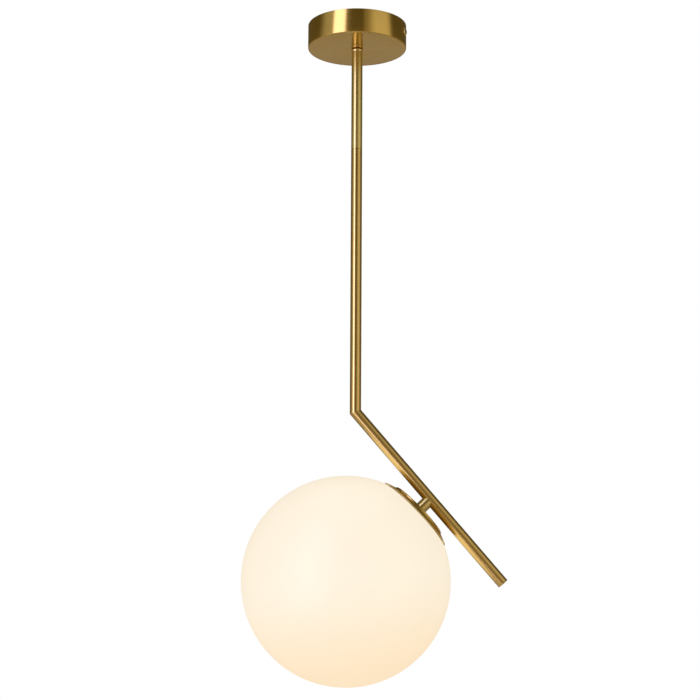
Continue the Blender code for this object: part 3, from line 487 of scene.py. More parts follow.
@dataclass(frozen=True)
class MouldedPlastic(Finish):
    """Injection-moulded plastic with a spark-eroded satin skin.

    The eye sees an even colour with a fine pebbled sheen and slightly glossier patches.
    """

    light: str = "#ECEAE5"
    dark: str = "#DDDAD3"
    roughness: float = 0.42
    grain: float = 0.4 * MM
    relief: float = 0.01 * MM

    def dress(
        self, tree: bpy.types.NodeTree, shader: bpy.types.Node, place: bpy.types.NodeSocket
    ) -> None:
        """Adds the pebbled skin and its patches.

        Args:
            tree: The material's node tree.
            shader: Its Principled BSDF.
            place: The point on the piece, in metres from the piece's own origin.
        """
        grain = self.noise(tree, place, self.grain, 3.0)
        patch = self.noise(tree, place, 9 * MM, 2.0)
        tree.links.new(
            self.between(tree, patch, srgb(self.dark), srgb(self.light), 0.3, 0.7),
            shader.inputs["Base Color"],
        )
        tree.links.new(
            self.between(tree, patch, self.roughness * 1.15, self.roughness * 0.88),
            shader.inputs["Roughness"],
        )
        self.raise_surface(tree, shader, grain, self.relief)


@dataclass(frozen=True)
class EarthStriped(Finish):
    """Insulation of an earth core: green with a yellow stripe that winds round it.

    The eye sees broad diagonal bands with soft edges on a smooth plastic.
    """

    pitch: float = 9 * MM

    def dress(
        self, tree: bpy.types.NodeTree, shader: bpy.types.Node, place: bpy.types.NodeSocket
    ) -> None:
        """Adds the two colours in diagonal bands.

        Args:
            tree: The material's node tree.
            shader: Its Principled BSDF.
            place: The point on the piece, in metres from the piece's own origin.
        """
        wave = add_node(
            tree,
            "ShaderNodeTexWave",
            {"Vector": place, "Scale": 1 / self.pitch, "Distortion": 0.0},
            bands_direction="DIAGONAL",
        )
        tree.links.new(
            self.between(tree, wave.outputs["Fac"], srgb("#3E8C3A"), srgb("#E8D23C"), 0.48, 0.52),
            shader.inputs["Base Color"],
        )
        smear = self.noise(tree, place, 2 * MM)
        tree.links.new(self.between(tree, smear, 0.36, 0.48), shader.inputs["Roughness"])
        self.raise_surface(tree, shader, smear, 0.01 * MM)


@dataclass(frozen=True)
class PrintedBoard(Finish):
    """Glass-fibre circuit board under green solder mask, with tinned pads.

    The eye sees a deep glossy green with a faint weave and small bright pads.
    """

    def dress(
        self, tree: bpy.types.NodeTree, shader: bpy.types.Node, place: bpy.types.NodeSocket
    ) -> None:
        """Adds the weave and the pads.

        Args:
            tree: The material's node tree.
            shader: Its Principled BSDF.
            place: The point on the piece, in metres from the piece's own origin.
        """
        cells = add_node(
            tree,
            "ShaderNodeTexVoronoi",
            {"Vector": place, "Scale": 1 / (3.5 * MM), "Randomness": 0.35},
        )
        pads = self.between(tree, cells.outputs["Distance"], 1.0, 0.0, 0.2, 0.24)
        weave = self.noise(tree, place, 0.6 * MM, 1.0)
        mask = self.between(tree, weave, srgb("#0E5A2C"), srgb("#146B36"))
        mix = add_node(
            tree,
            "ShaderNodeMix",
            {0: pads, 6: mask, 7: srgb("#C8C9C6")},
            data_type="RGBA",
        )
        tree.links.new(mix.outputs[2], shader.inputs["Base Color"])
        tree.links.new(pads, shader.inputs["Metallic"])
        self.raise_surface(tree, shader, weave, 0.01 * MM)
        shader.inputs["Roughness"].default_value = 0.3


@dataclass(frozen=True)
class StudioFloor(Finish):
    """A pale painted floor with a faintly uneven roller texture."""

    def dress(
        self, tree: bpy.types.NodeTree, shader: bpy.types.Node, place: bpy.types.NodeSocket
    ) -> None:
        """Adds the roller texture.

        Args:
            tree: The material's node tree.
            shader: Its Principled BSDF.
            place: The point on the piece, in metres from the piece's own origin.
        """
        roller = self.noise(tree, place, 4 * MM, 2.0)
        tree.links.new(
            self.between(tree, roller, srgb("#ECEBE9"), srgb("#F2F1EF")),
            shader.inputs["Base Color"],
        )
        self.raise_surface(tree, shader, roller, 0.05 * MM)
        shader.inputs["Roughness"].default_value = 0.7


BRASS = BrushedBrass("brass_brushed_and_lacquered")
SPUN_BRASS = BrushedBrass(
    "brass_spun_and_brushed", light="#E8C876", dark="#DDBC6A", roughness=0.17, relief=0.0008 * MM
)
PALE_BRASS = BrushedBrass(
    "brass_brushed_pale_tone", light="#F0DE9A", dark="#E9D68E", roughness=0.3, stretch=0.9
)
DEEP_BRASS = BrushedBrass(
    "brass_brushed_deep_tone", light="#EDD088", dark="#E4C57D", roughness=0.2, stretch=0.89
)
BRIGHT_BRASS = BrushedBrass(
    "brass_polished", light="#F6DFA8", dark="#F0D595", roughness=0.14, stretch=0.2, lacquer=0.2
)
PLAIN_BRASS = TurnedMetal("brass_as_turned", light="#D8B878", dark="#B89858", roughness=0.35)
ZINC = TurnedMetal("steel_zinc_plated", light="#D6D8DA", dark="#A9ADB2", roughness=0.32)
ALUMINIUM = TurnedMetal("aluminium_as_turned", light="#E2E2E3", dark="#C6C7C9", roughness=0.28)
WHITE_PLASTIC = MouldedPlastic("polyamide_moulded_white")
BLACK_PLASTIC = MouldedPlastic("phenolic_moulded_black", light="#1D1C1B", dark="#121211")
STEATITE = MouldedPlastic(
    "steatite_fired_unglazed", light="#E6DFD2", dark="#D3CABA", roughness=0.6, relief=0.03 * MM
)
SILICONE = MouldedPlastic("silicone_moulded", light="#D8D3CA", dark="#C8C2B7", roughness=0.6)
CABLE_SHEATH = MouldedPlastic("pvc_extruded_white", light="#E4E2DD", dark="#D8D5CF", roughness=0.35)
LIVE_CORE = MouldedPlastic("pvc_extruded_brown", light="#6B3D20", dark="#573018", roughness=0.35)
NEUTRAL_CORE = MouldedPlastic("pvc_extruded_blue", light="#2A5FA8", dark="#204C8C", roughness=0.35)
EARTH_CORE = EarthStriped("pvc_extruded_green_and_yellow")
BOARD = PrintedBoard("circuit_board_solder_masked")
FLOOR = StudioFloor("floor_painted")


# ---- Meshes -------------------------------------------------------------------------------------


def rounded(corners: Sequence[Corner], closed: bool, steps: int = FILLET_STEPS) -> list[Point]:
    """Rounds the corners of an outline.

    Args:
        corners: Each corner's radius from the axis, its height and its rounding.
        closed: Whether the last corner joins the first.
        steps: How many straight pieces a rounding has.

    Returns:
        The outline's points.
    """
    made: list[Point] = []
    count = len(corners)
    for i, (x, y, rounding) in enumerate(corners):
        here = Vector((x, y))
        inner = closed or 0 < i < count - 1
        if rounding <= 0 or not inner:
            made.append((x, y))
            continue
        before = Vector(corners[i - 1][:2]) - here
        after = Vector(corners[(i + 1) % count][:2]) - here
        half = before.angle(after) / 2
        reach = min(rounding / math.tan(half), 0.49 * before.length, 0.49 * after.length)
        start, end = here + before.normalized() * reach, here + after.normalized() * reach
        radius = reach * math.tan(half)
        centre = here + (before.normalized() + after.normalized()).normalized() * (
            radius / math.sin(half)
        )
        first, last = start - centre, end - centre
        turn = math.atan2(first.x * last.y - first.y * last.x, first.dot(last))
        for step in range(steps + 1):
            angle = turn * step / steps
            cos, sin = math.cos(angle), math.sin(angle)
            made.append(
                (
                    centre.x + first.x * cos - first.y * sin,
                    centre.y + first.x * sin + first.y * cos,
                )
            )
    return made


def sphere_points(radius: float, start: float, end: float, steps: int) -> list[Corner]:
    """Points on a ball's outline between two distances from its axis, above its middle.

    Args:
        radius: The ball's radius.
        start: The first distance from the axis.
        end: The last distance from the axis.
        steps: How many straight pieces the outline has.

    Returns:
        Corners without rounding.
    """
    low, high = math.asin(start / radius), math.asin(end / radius)
    angles = [low + (high - low) * step / steps for step in range(steps + 1)]
    return [(radius * math.sin(angle), radius * math.cos(angle), 0.0) for angle in angles]


def new_object(name: str, mesh: bpy.types.Mesh) -> bpy.types.Object:
    """Puts a mesh in the scene as an object.

    Args:
        name: The object's name.
        mesh: Its mesh.

    Returns:
        The object, at the origin.
    """
    made = bpy.data.objects.new(name, mesh)
    bpy.context.scene.collection.objects.link(made)
    return made


def smooth(mesh: bpy.types.Mesh) -> None:
    """Shades a mesh smooth, but sharp where its faces meet steeply."""
    mesh.shade_smooth()
    mesh.set_sharp_from_angle(angle=SHARP_ANGLE)


def face_outwards(mesh: bpy.types.Mesh) -> None:
    """Turns all the faces of a closed mesh outwards, and shades it.

    Args:
        mesh: The mesh to turn.
    """
    bm = bmesh.new()
    bm.from_mesh(mesh)
    bmesh.ops.recalc_face_normals(bm, faces=bm.faces)
    bm.to_mesh(mesh)
    bm.free()
    smooth(mesh)


def mesh_object(
    name: str, points: Sequence[Vector], faces: Sequence[Sequence[int]]
) -> bpy.types.Object:
    """Makes an object from points and faces, with its faces pointing outwards.

    Args:
        name: The object's name.
        points: The vertices.
        faces: The vertex numbers of each face.

    Returns:
        The object, at the origin.
    """
    mesh = bpy.data.meshes.new(name)
    mesh.from_pydata(points, [], faces)
    face_outwards(mesh)
    return new_object(name, mesh)


def revolved(
    name: str, outline: Sequence[Point], placed: Matrix, sides: int = ROUND_SIDES
) -> bpy.types.Object:
    """Turns an outline about an axis.

    Args:
        name: The object's name.
        outline: Points of (radius, height). One that starts and ends on the axis closes there.
        placed: Where the axis is.
        sides: How many sides the round has.

    Returns:
        The object.
    """
    points: list[Vector] = []
    rings: list[list[int]] = []
    for radius, height in outline:
        ring = []
        for side in range(1 if radius < ON_AXIS else sides):
            angle = 2 * math.pi * side / sides
            point = Vector((radius * math.cos(angle), radius * math.sin(angle), height))
            ring.append(len(points))
            points.append(placed @ point)
        rings.append(ring)
    pairs = list(zip(rings, rings[1:]))
    if len(rings[0]) > 1:
        pairs.append((rings[-1], rings[0]))
    faces = []
    for low, high in pairs:
        for side in range(sides):
            after = (side + 1) % sides
            corners = [low[side % len(low)], low[after % len(low)]]
            corners += [high[after % len(high)], high[side % len(high)]]
            faces.append(list(dict.fromkeys(corners)))
    return mesh_object(name, points, [face for face in faces if len(face) > 2])


def strip(
    name: str, outline: Sequence[Point], half_width: float, placed: Matrix
) -> bpy.types.Object:
    """Gives a flat outline of (x, z) points a width along Y.

    Args:
        name: The object's name.
        outline: The closed outline.
        half_width: Half of the width.
        placed: Where the outline's own axes are.

    Returns:
        The object.
    """
    count = len(outline)
    points = [placed @ Vector((x, y, z)) for y in (-half_width, half_width) for x, z in outline]
    sides = [[i, (i + 1) % count, count + (i + 1) % count, count + i] for i in range(count)]
    caps = [list(range(count)), list(range(count, 2 * count))]
    return mesh_object(name, points, sides + caps)


def evaluated(obj: bpy.types.Object) -> bpy.types.Object:
    """Turns an object's modifiers into plain mesh, and removes them.

    Args:
        obj: The object, which a new one of the same name replaces.

    Returns:
        The new object.
    """
    graph = bpy.context.evaluated_depsgraph_get()
    mesh = bpy.data.meshes.new_from_object(obj.evaluated_get(graph))
    name = obj.name
    bpy.data.objects.remove(obj, do_unlink=True)
    mesh.name = name
    smooth(mesh)
    return new_object(name, mesh)


def cut(obj: bpy.types.Object, tools: Sequence[bpy.types.Object]) -> bpy.types.Object:
    """Cuts holes and slots out of an object.

    Args:
        obj: The object to cut.
        tools: Closed objects in the shape of what goes; they are removed.

    Returns:
        The cut object.
    """
    for tool in tools:
        boolean = obj.modifiers.new(tool.name, "BOOLEAN")
        boolean.object = tool
    made = evaluated(obj)
    for tool in tools:
        bpy.data.objects.remove(tool, do_unlink=True)
    return made


def bevelled(obj: bpy.types.Object, width: float, segments: int = 3) -> bpy.types.Object:
    """Rounds an object's sharp edges.

    Args:
        obj: The object.
        width: The rounding's width.
        segments: How many faces the rounding has.

    Returns:
        The rounded object.
    """
    bevel = obj.modifiers.new("edges", "BEVEL")
    bevel.width = width
    bevel.segments = segments
    bevel.limit_method = "ANGLE"
    bevel.angle_limit = SHARP_ANGLE
    return evaluated(obj)


def pin(
    name: str, start: Vector, end: Vector, radius: float, sides: int = SMALL_SIDES
) -> bpy.types.Object:
    """Makes a plain bar between two points, used to cut a hole.

    Args:
        name: The object's name.
        start: The middle of one end.
        end: The middle of the other.
        radius: The bar's radius, out to its corners.
        sides: How many sides it has.

    Returns:
        The bar.
    """
    length = (end - start).length
    turn = (end - start).to_track_quat("Z", "Y").to_matrix().to_4x4()
    outline = [(0.0, 0.0), (radius, 0.0), (radius, length), (0.0, length)]
    return revolved(name, outline, Matrix.Translation(start) @ turn, sides)


# ---- Geometry Nodes -----------------------------------------------------------------------------


class NodeShape:
    """A Geometry Nodes tree with named inputs, run once to make a plain mesh."""

    def __init__(self, name: str, sizes: dict[str, float]) -> None:
        """Starts the tree.

        Args:
            name: The tree's name.
            sizes: The tree's named inputs and their values.
        """
        self.tree = bpy.data.node_groups.new(name, "GeometryNodeTree")
        interface = self.tree.interface
        interface.new_socket("Geometry", in_out="INPUT", socket_type="NodeSocketGeometry")
        for label in sizes:
            interface.new_socket(label, in_out="INPUT", socket_type="NodeSocketFloat")
        interface.new_socket("Material", in_out="INPUT", socket_type="NodeSocketMaterial")
        interface.new_socket("Geometry", in_out="OUTPUT", socket_type="NodeSocketGeometry")
        self.sizes = sizes
        self.start = add_node(self.tree, "NodeGroupInput")

    def size(self, label: str) -> bpy.types.NodeSocket:
        """One of the tree's named inputs."""
        return self.start.outputs[label]

    def math(self, operation: str, *values: Any) -> bpy.types.NodeSocket:
        """Works out one step of arithmetic in the tree.

        Args:
            operation: The step, such as "MULTIPLY".
            *values: The numbers or outputs that it works on.

        Returns:
            The result.
        """
        inputs = dict(enumerate(values))
        return add_node(self.tree, "ShaderNodeMath", inputs, operation=operation).outputs[0]

    def run(
        self,
        shape: bpy.types.NodeSocket,
        name: str,
        material: bpy.types.Material,
        data: bpy.types.ID | None = None,
    ) -> bpy.types.Object:
        """Ends the tree, runs it on an object and keeps the mesh that it makes.

        Args:
            shape: The geometry that the tree has built.
            name: The new object's name.
            material: Its material.
            data: The mesh that the tree starts from, where it needs one.

        Returns:
            The object, as a plain mesh.
        """
        real = add_node(self.tree, "GeometryNodeRealizeInstances", {0: shape})
        dressed = add_node(
            self.tree,
            "GeometryNodeSetMaterial",
            {"Geometry": real.outputs[0], "Material": self.start.outputs["Material"]},
        )
        add_node(self.tree, "NodeGroupOutput", {0: dressed.outputs[0]})
        holder = bpy.data.objects.new(name, data or bpy.data.meshes.new(name))
        bpy.context.scene.collection.objects.link(holder)
        modifier = holder.modifiers.new("shape", "NODES")
        modifier.node_group = self.tree
        for item in self.tree.interface.items_tree:
            if item.in_out == "INPUT" and item.name in self.sizes:
                modifier[item.identifier] = float(self.sizes[item.name])
            if item.in_out == "INPUT" and item.name == "Material":
                modifier[item.identifier] = material
        return evaluated(holder)


# ---- What the frame says ------------------------------------------------------------------------


@dataclass(frozen=True)
class RingSize:
    """The size of a round node about its axis."""

    inner: float
    outer: float
    low: float
    high: float

    def bored(self, *edges: float) -> list[Corner]:
        """The outline of a ring of this size.

        Args:
            *edges: The rounding of its inner low, outer low, outer high and inner high edge.

        Returns:
            The outline's corners, in that order.
        """
        places = [(self.inner, self.low), (self.outer, self.low)]
        places += [(self.outer, self.high), (self.inner, self.high)]
        return [(*place, edge) for place, edge in zip(places, edges)]

    def solid(self, low_edge: float, high_edge: float) -> list[Corner]:
        """The outline of a disc of this size, from its axis round to its axis.

        Args:
            low_edge: The rounding of its low edge.
            high_edge: The rounding of its high edge.

        Returns:
            The outline's corners, from the low face up.
        """
        rim = [(self.outer, self.low, low_edge), (self.outer, self.high, high_edge)]
        return [(0.0, self.low, 0.0), *rim, (0.0, self.high, 0.0)]


def measured(node: str, placed: Matrix) -> RingSize:
    """Measures a round node about an axis.

    Args:
        node: The node's name in the frame.
        placed: Where the axis is.

    Returns:
        Its inner and outer radius, and its lowest and highest place along the axis.
    """
    back = placed.inverted()
    points = [back @ vertex.co for vertex in frame["nodes"][node].data.vertices]
    radii = [math.hypot(point.x, point.y) for point in points]
    heights = [point.z for point in points]
    return RingSize(min(radii), max(radii), min(heights), max(heights))


def joint(name: str) -> dict[str, Any]:
    """The frame's joint of that name."""
    return next(item for item in frame["joints"] if item["name"] == name)


def rod_axes() -> Matrix:
    """The axes of the rod: the origin on the ceiling, Z up."""
    return Matrix.Identity(4)


def head_axes() -> Matrix:
    """Finds the axes of the head.

    Returns:
        The axes, with the origin at the globe's centre and Z towards the arm.
    """
    turning = joint("globe_turn")
    away = -Vector(turning["axis"]).normalized()
    tilt = math.atan2(away.x, away.z)
    return Matrix.Translation(turning["pos_m"]) @ Matrix.Rotation(tilt, 4, "Y")


@dataclass(frozen=True)
class ArmRun:
    """The rod's bend and the line of the arm below it."""

    bend: Vector
    direction: Vector
    length: float

    @classmethod
    def from_frame(cls) -> "ArmRun":
        """Reads the bend from the tube's mesh, whose mitre halves the angle between rod and arm.

        Returns:
            The bend, the arm's direction and its length.
        """
        tube = [vertex.co for vertex in frame["nodes"]["bent_arm"].data.vertices]
        radius = max(point.y for point in tube)
        near = 0.01 * MM
        inner, outer = (
            min(
                point.z
                for point in tube
                if abs(point.x - side * radius) < near and abs(point.y) < near
            )
            for side in (1, -1)
        )
        turn = 2 * math.atan2(inner - outer, 2 * radius)
        direction = Vector((math.sin(turn), 0.0, -math.cos(turn)))
        bend = Vector((0.0, 0.0, (inner + outer) / 2))
        return cls(bend, direction, max((point - bend).dot(direction) for point in tube))

    def axes(self) -> Matrix:
        """The axes of the arm: the origin at the bend, Z down the arm."""
        tilt = math.atan2(self.direction.x, self.direction.z)
        return Matrix.Translation(self.bend) @ Matrix.Rotation(tilt, 4, "Y")


# ---- Pieces -------------------------------------------------------------------------------------


@dataclass
class SubAssembly:
    """A group of pieces that share their axes and ride on one body."""

    axes: Matrix
    body: Body

    def place(
        self,
        obj: bpy.types.Object,
        finish: Finish | None,
        slot: str,
        nodes: Sequence[str],
        placed: Matrix | None = None,
        body: Body | None = None,
    ) -> bpy.types.Object:
        """Dresses a finished piece and lets it ride on its body in place of its nodes.

        Args:
            obj: The piece, at the origin.
            finish: What it is made of, or None where it already has its material.
            slot: The record's material slot; not used.
            nodes: The frame's nodes that it stands for.
            placed: The axes that its pattern follows, where they aren't the group's.
            body: The body that it rides on, where it isn't the group's.

        Returns:
            The piece.
        """
        if finish:
            obj.data.materials.clear()
            obj.data.materials.append(finish.material(placed or self.axes))
        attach(obj, (body or self.body).value)
        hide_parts(*nodes)
        LOG.info("%s: %d faces on %s", obj.name, len(obj.data.polygons), (body or self.body).value)
        return obj

    def dress(self, nodes: Sequence[str], finish: Finish, placed: Matrix | None = None) -> None:
        """Gives nodes of the frame, whose shape is already right, a better material.

        Args:
            nodes: The nodes' names.
            finish: What they are made of.
            placed: The axes that the pattern follows, where they aren't the group's.
        """
        for name in nodes:
            node = frame["nodes"][name]
            node.data.materials.clear()
            node.data.materials.append(finish.material(placed or self.axes))
            LOG.info("%s: the frame's own shape, in %s", name, finish.name)

    def ring(
        self,
        name: str,
        node: str,
        finish: Finish,
        slot: str,
        edge: float = 0.15 * MM,
        sides: int = TUBE_SIDES,
        body: Body | None = None,
        placed: Matrix | None = None,
    ) -> bpy.types.Object:
        """Builds a plain ring or tube, with broken edges, in the size of its node.

        Args:
            name: The piece's name.
            node: The node that it stands for.
            finish: What it is made of.
            slot: The record's material slot.
            edge: The rounding of its edges.
            sides: How many sides it has.
            body: The body that it rides on, where it isn't the group's.
            placed: Its axis, where it isn't the group's.

        Returns:
            The piece.
        """
        axes = placed or self.axes
        corners = measured(node, axes).bored(edge, edge, edge, edge)
        made = revolved(name, rounded(corners, True, 3), axes, sides)
        return self.place(made, finish, slot, [node], axes, body)


@dataclass(frozen=True)
class Thread:
    """A screw thread cut on or rolled into a round piece."""

    pitch: float
    depth: float
    low: float
    high: float
    start: float = 0.0
    end: float = 1.0

    def heights(self) -> list[float]:
        """The places along the axis where the thread needs a point, eight to each turn."""
        count = max(2, round((self.high - self.low) / self.pitch * 8))
        return [self.low + (self.high - self.low) * i / count for i in range(count + 1)]

    def rise(self, radius: float, height: float, share: float) -> float:
        """Works out how far the thread moves a point out.

        Args:
            radius: The point's distance from the axis.
            height: Its place along the axis.
            share: Its angle round the axis, as a share of a turn.

        Returns:
            The way out, which is negative in the groove.
        """
        if not (self.start <= radius <= self.end and self.low <= height <= self.high):
            return 0.0
        fade = min(height - self.low, self.high - height, self.pitch / 2) / (self.pitch / 2)
        return self.depth * fade * math.cos(2 * math.pi * (height / self.pitch - share))


def threaded(
    name: str, outline: Sequence[Point], threads: Sequence[Thread], placed: Matrix, sides: int
) -> bpy.types.Object:
    """Turns an outline about an axis and cuts threads into it.

    Args:
        name: The object's name.
        outline: The outline's points, already close together along each thread.
        threads: The threads.
        placed: Where the axis is.
        sides: How many sides the round has.

    Returns:
        The object.
    """
    made = revolved(name, outline, Matrix.Identity(4), sides)
    for vertex in made.data.vertices:
        radius = math.hypot(vertex.co.x, vertex.co.y)
        share = math.atan2(vertex.co.y, vertex.co.x) / (2 * math.pi)
        rise = sum(thread.rise(radius, vertex.co.z, share) for thread in threads)
        if rise:
            vertex.co.x *= 1 + rise / radius
            vertex.co.y *= 1 + rise / radius
    made.data.transform(placed)
    smooth(made.data)
    return made


@dataclass
class CeilingMount(SubAssembly):
    """The canopy, the bracket inside it, its screws and the mains terminals."""

    body: Body = Body.CEILING
    canopy_wall: float = 1.0 * MM
    canopy_edge: float = 1.5 * MM
    rim_edge: float = 0.25 * MM
    screw_drop: float = 11 * MM
    screw_hole: float = 2.3 * MM
    screw_rim: float = 0.4 * MM
    screw_pitch: float = 0.7 * MM
    socket_radius: float = 1.45 * MM
    socket_depth: float = 1.3 * MM
    bracket_thickness: float = 2.0 * MM
    slot_offset: float = 38 * MM
    slot_length: float = 9 * MM
    slot_width: float = 4.5 * MM
    peg_places: tuple[float, float] = (18.5 * MM, 27.5 * MM)
    peg_hole: float = 1.8 * MM
    clamp_slot: float = 0.7 * MM
    earth_place: float = -24 * MM
    earth_head: float = 2.4 * MM
    earth_slot: float = 0.8 * MM

    def build(self) -> None:
        """Builds every piece of the ceiling side."""
        self.canopy()
        self.bracket()
        for number, turn in ((1, 0.0), (2, math.pi)):
            self.side_screw(number, turn)
        self.terminals()
        self.earth_point()
        self.wiring()
        self.stop_pin()

    def stop_pin(self) -> None:
        """The pin on the canopy's floor that ends the rod's swivel."""
        low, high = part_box("stop_stud")
        place = Matrix.Translation(((low.x + high.x) / 2, (low.y + high.y) / 2, 0.0))
        corners = measured("stop_stud", place).solid(0.1 * MM, 0.3 * MM)
        made = revolved("swivel_stop_pin", rounded(corners, False, 3), place, SMALL_SIDES)
        self.place(made, PLAIN_BRASS, "plain_brass", ["stop_stud"], place)

    def canopy(self) -> None:
        """The spun cup, with its hole for the rod and the two for its screws."""
        size = measured("canopy", self.axes)
        inside, floor = size.outer - self.canopy_wall, size.low + self.canopy_wall
        corners = [
            (size.inner, size.low, 0.15 * MM),
            (size.outer, size.low, self.canopy_edge),
            (size.outer, size.high, self.rim_edge),
            (inside, size.high, self.rim_edge),
            (inside, floor, self.canopy_edge - self.canopy_wall),
            (size.inner, floor, 0.15 * MM),
        ]
        cup = revolved("canopy_cup", rounded(corners, True), self.axes, ROUND_SIDES)
        tools = []
        for side in (1, -1):
            ends = [
                self.axes @ Vector((side * reach, 0.0, -self.screw_drop))
                for reach in (inside - self.canopy_edge, size.outer + self.canopy_edge)
            ]
            tools.append(pin(f"screw_hole_{side + 2}", *ends, self.screw_hole))
        self.place(cut(cup, tools), SPUN_BRASS, "brushed_brass", ["canopy"])

    def bracket(self) -> None:
        """The pressed steel bar, with its ears bent down, its slots and its holes."""
        back = self.axes.inverted()
        points = [back @ v.co for v in frame["nodes"]["mounting_bracket"].data.vertices]
        reach, width = max(p.x for p in points), max(p.y for p in points)
        drop, thick = min(p.z for p in points), self.bracket_thickness
        corners = [
            (reach, 0.0, 1.5 * thick),
            (reach, drop, 0.3 * MM),
            (reach - thick, drop, 0.3 * MM),
            (reach - thick, -thick, 0.5 * thick),
            (thick - reach, -thick, 0.5 * thick),
            (thick - reach, drop, 0.3 * MM),
            (-reach, drop, 0.3 * MM),
            (-reach, 0.0, 1.5 * thick),
        ]
        bar = strip("bracket_bar", rounded(corners, True, 6), width, self.axes)
        holes = [(x, self.peg_hole) for x in self.peg_places]
        holes.append((self.earth_place, self.screw_hole))
        tools = []
        for number, (x, radius) in enumerate(holes):
            ends = [self.axes @ Vector((x, 0.0, z)) for z in (-2 * thick, thick)]
            tools.append(pin(f"hole_{number}", *ends, radius))
        flat = self.axes @ Matrix.Rotation(math.pi / 2, 4, "X")
        half, round_end = self.slot_length / 2, self.slot_width / 2
        for side in (1, -1):
            ends = [
                self.axes @ Vector((side * (reach + step), 0.0, -self.screw_drop))
                for step in (-2 * thick, thick)
            ]
            tools.append(pin(f"ear_hole_{side + 2}", *ends, self.screw_hole))
            middle = side * self.slot_offset
            outline = [
                (middle + x, y, round_end)
                for x, y in (
                    (-half, -round_end),
                    (half, -round_end),
                    (half, round_end),
                    (-half, round_end),
                )
            ]
            tools.append(strip(f"slot_{side + 2}", rounded(outline, True, 8), 2 * thick, flat))
        self.place(cut(bar, tools), ZINC, "zinc_steel", ["mounting_bracket"])

    def side_screw(self, number: int, turn: float) -> None:
        """A domed screw with a hexagon socket, through the canopy's wall into the bracket's ear.

        Args:
            number: Which of the two it is.
            turn: Its angle from the bracket's first ear.
        """
        node = f"side_screw_{number}"
        place = self.axes @ Matrix.Rotation(turn, 4, "Z")
        place = place @ Matrix.Translation((0, 0, -self.screw_drop))
        place = place @ Matrix.Rotation(math.pi / 2, 4, "Y")
        size = measured(node, place)
        wall = measured("canopy", self.axes).outer
        under, shank = wall + GAP, self.screw_hole - GAP
        rim = under + self.screw_rim
        rise = size.high - rim
        ball = (size.outer**2 + rise**2) / (2 * rise)
        edge = math.asin((ball - rise) / ball)
        dome = [
            (ball * math.cos(a), size.high - ball + ball * math.sin(a), 0.0)
            for a in (edge + (math.pi / 2 - edge) * i / 12 for i in range(12))
        ]
        dome[0] = (*dome[0][:2], 0.3 * MM)
        head = [(shank, under, 0.0), (size.outer, under, 0.1 * MM), *dome, (0.0, size.high, 0.0)]
        thread = Thread(self.screw_pitch, 0.2 * MM, size.low + 0.3 * MM, wall - 2 * MM)
        outline = [(0.0, size.low), (shank - 0.4 * MM, size.low)]
        outline += [(shank - thread.depth, z) for z in thread.heights()]
        outline += rounded(head, False, 3)
        screw = threaded(f"domed_screw_{number}", outline, [thread], place, SMALL_SIDES)
        ends = [place @ Vector((0, 0, size.high + step)) for step in (-self.socket_depth, MM)]
        screw = cut(screw, [pin("socket", *ends, self.socket_radius, 6)])
        self.place(screw, BRIGHT_BRASS, "polished_brass", [node], place)

    def terminals(self) -> None:
        """The terminal block with its tubes, and its four clamp screws as one group."""
        self.dress(["terminal_block"], WHITE_PLASTIC)
        self.dress(["terminal_tube_1", "terminal_tube_2"], PLAIN_BRASS)
        names = [f"terminal_screw_{number}" for number in (1, 2, 3, 4)]
        back = self.axes.inverted()
        centres = []
        for name in names:
            points = [back @ v.co for v in frame["nodes"][name].data.vertices]
            low, high = (
                Vector([pick(p[i] for p in points) for i in range(3)]) for pick in (min, max)
            )
            centres.append((low + high) / 2)
        radius, length = (high.x - low.x) / 2, high.z - low.z
        outline = [(0, 0, 0), (radius, 0, 0.15 * MM), (radius, length, 0.3 * MM), (0, length, 0)]
        screw = revolved("clamp_screw", rounded(outline, False, 3), Matrix.Identity(4), 32)
        slot = self.driver_slot(self.clamp_slot, 0.8 * MM, 2 * radius, Matrix.Identity(4))
        screw = cut(screw, [slot])
        middle = sum(centres, Vector()) / 4
        spacing = [max(abs(c[i] - middle[i]) for c in centres) * 2 for i in (0, 1)]
        shape = NodeShape("clamp_screws", {"Along": spacing[0], "Across": spacing[1]})
        grid = add_node(
            shape.tree,
            "GeometryNodeMeshGrid",
            {
                "Size X": shape.size("Along"),
                "Size Y": shape.size("Across"),
                "Vertices X": 2,
                "Vertices Y": 2,
            },
        )
        copies = add_node(
            shape.tree,
            "GeometryNodeInstanceOnPoints",
            {"Points": grid.outputs["Mesh"], "Instance": shape.start.outputs["Geometry"]},
        )
        mesh = screw.data
        bpy.data.objects.remove(screw, do_unlink=True)
        place = self.axes @ Matrix.Translation(middle - Vector((0, 0, length / 2)))
        made = shape.run(copies.outputs["Instances"], "clamp_screws", ZINC.material(place), mesh)
        made.data.transform(place)
        self.place(made, None, "zinc_steel", names)

    @staticmethod
    def driver_slot(
        width: float, depth: float, half_length: float, place: Matrix
    ) -> bpy.types.Object:
        """Makes the tool that cuts a screwdriver's slot into a flat head.

        Args:
            width: The slot's width.
            depth: Its depth.
            half_length: Half of its length.
            place: The axes of the head: the origin on its face, Z into the screw.

        Returns:
            The tool.
        """
        half = width / 2
        outline = [(-half, -MM), (half, -MM), (half, depth), (-half, depth)]
        return strip("driver_slot", outline, half_length, place)

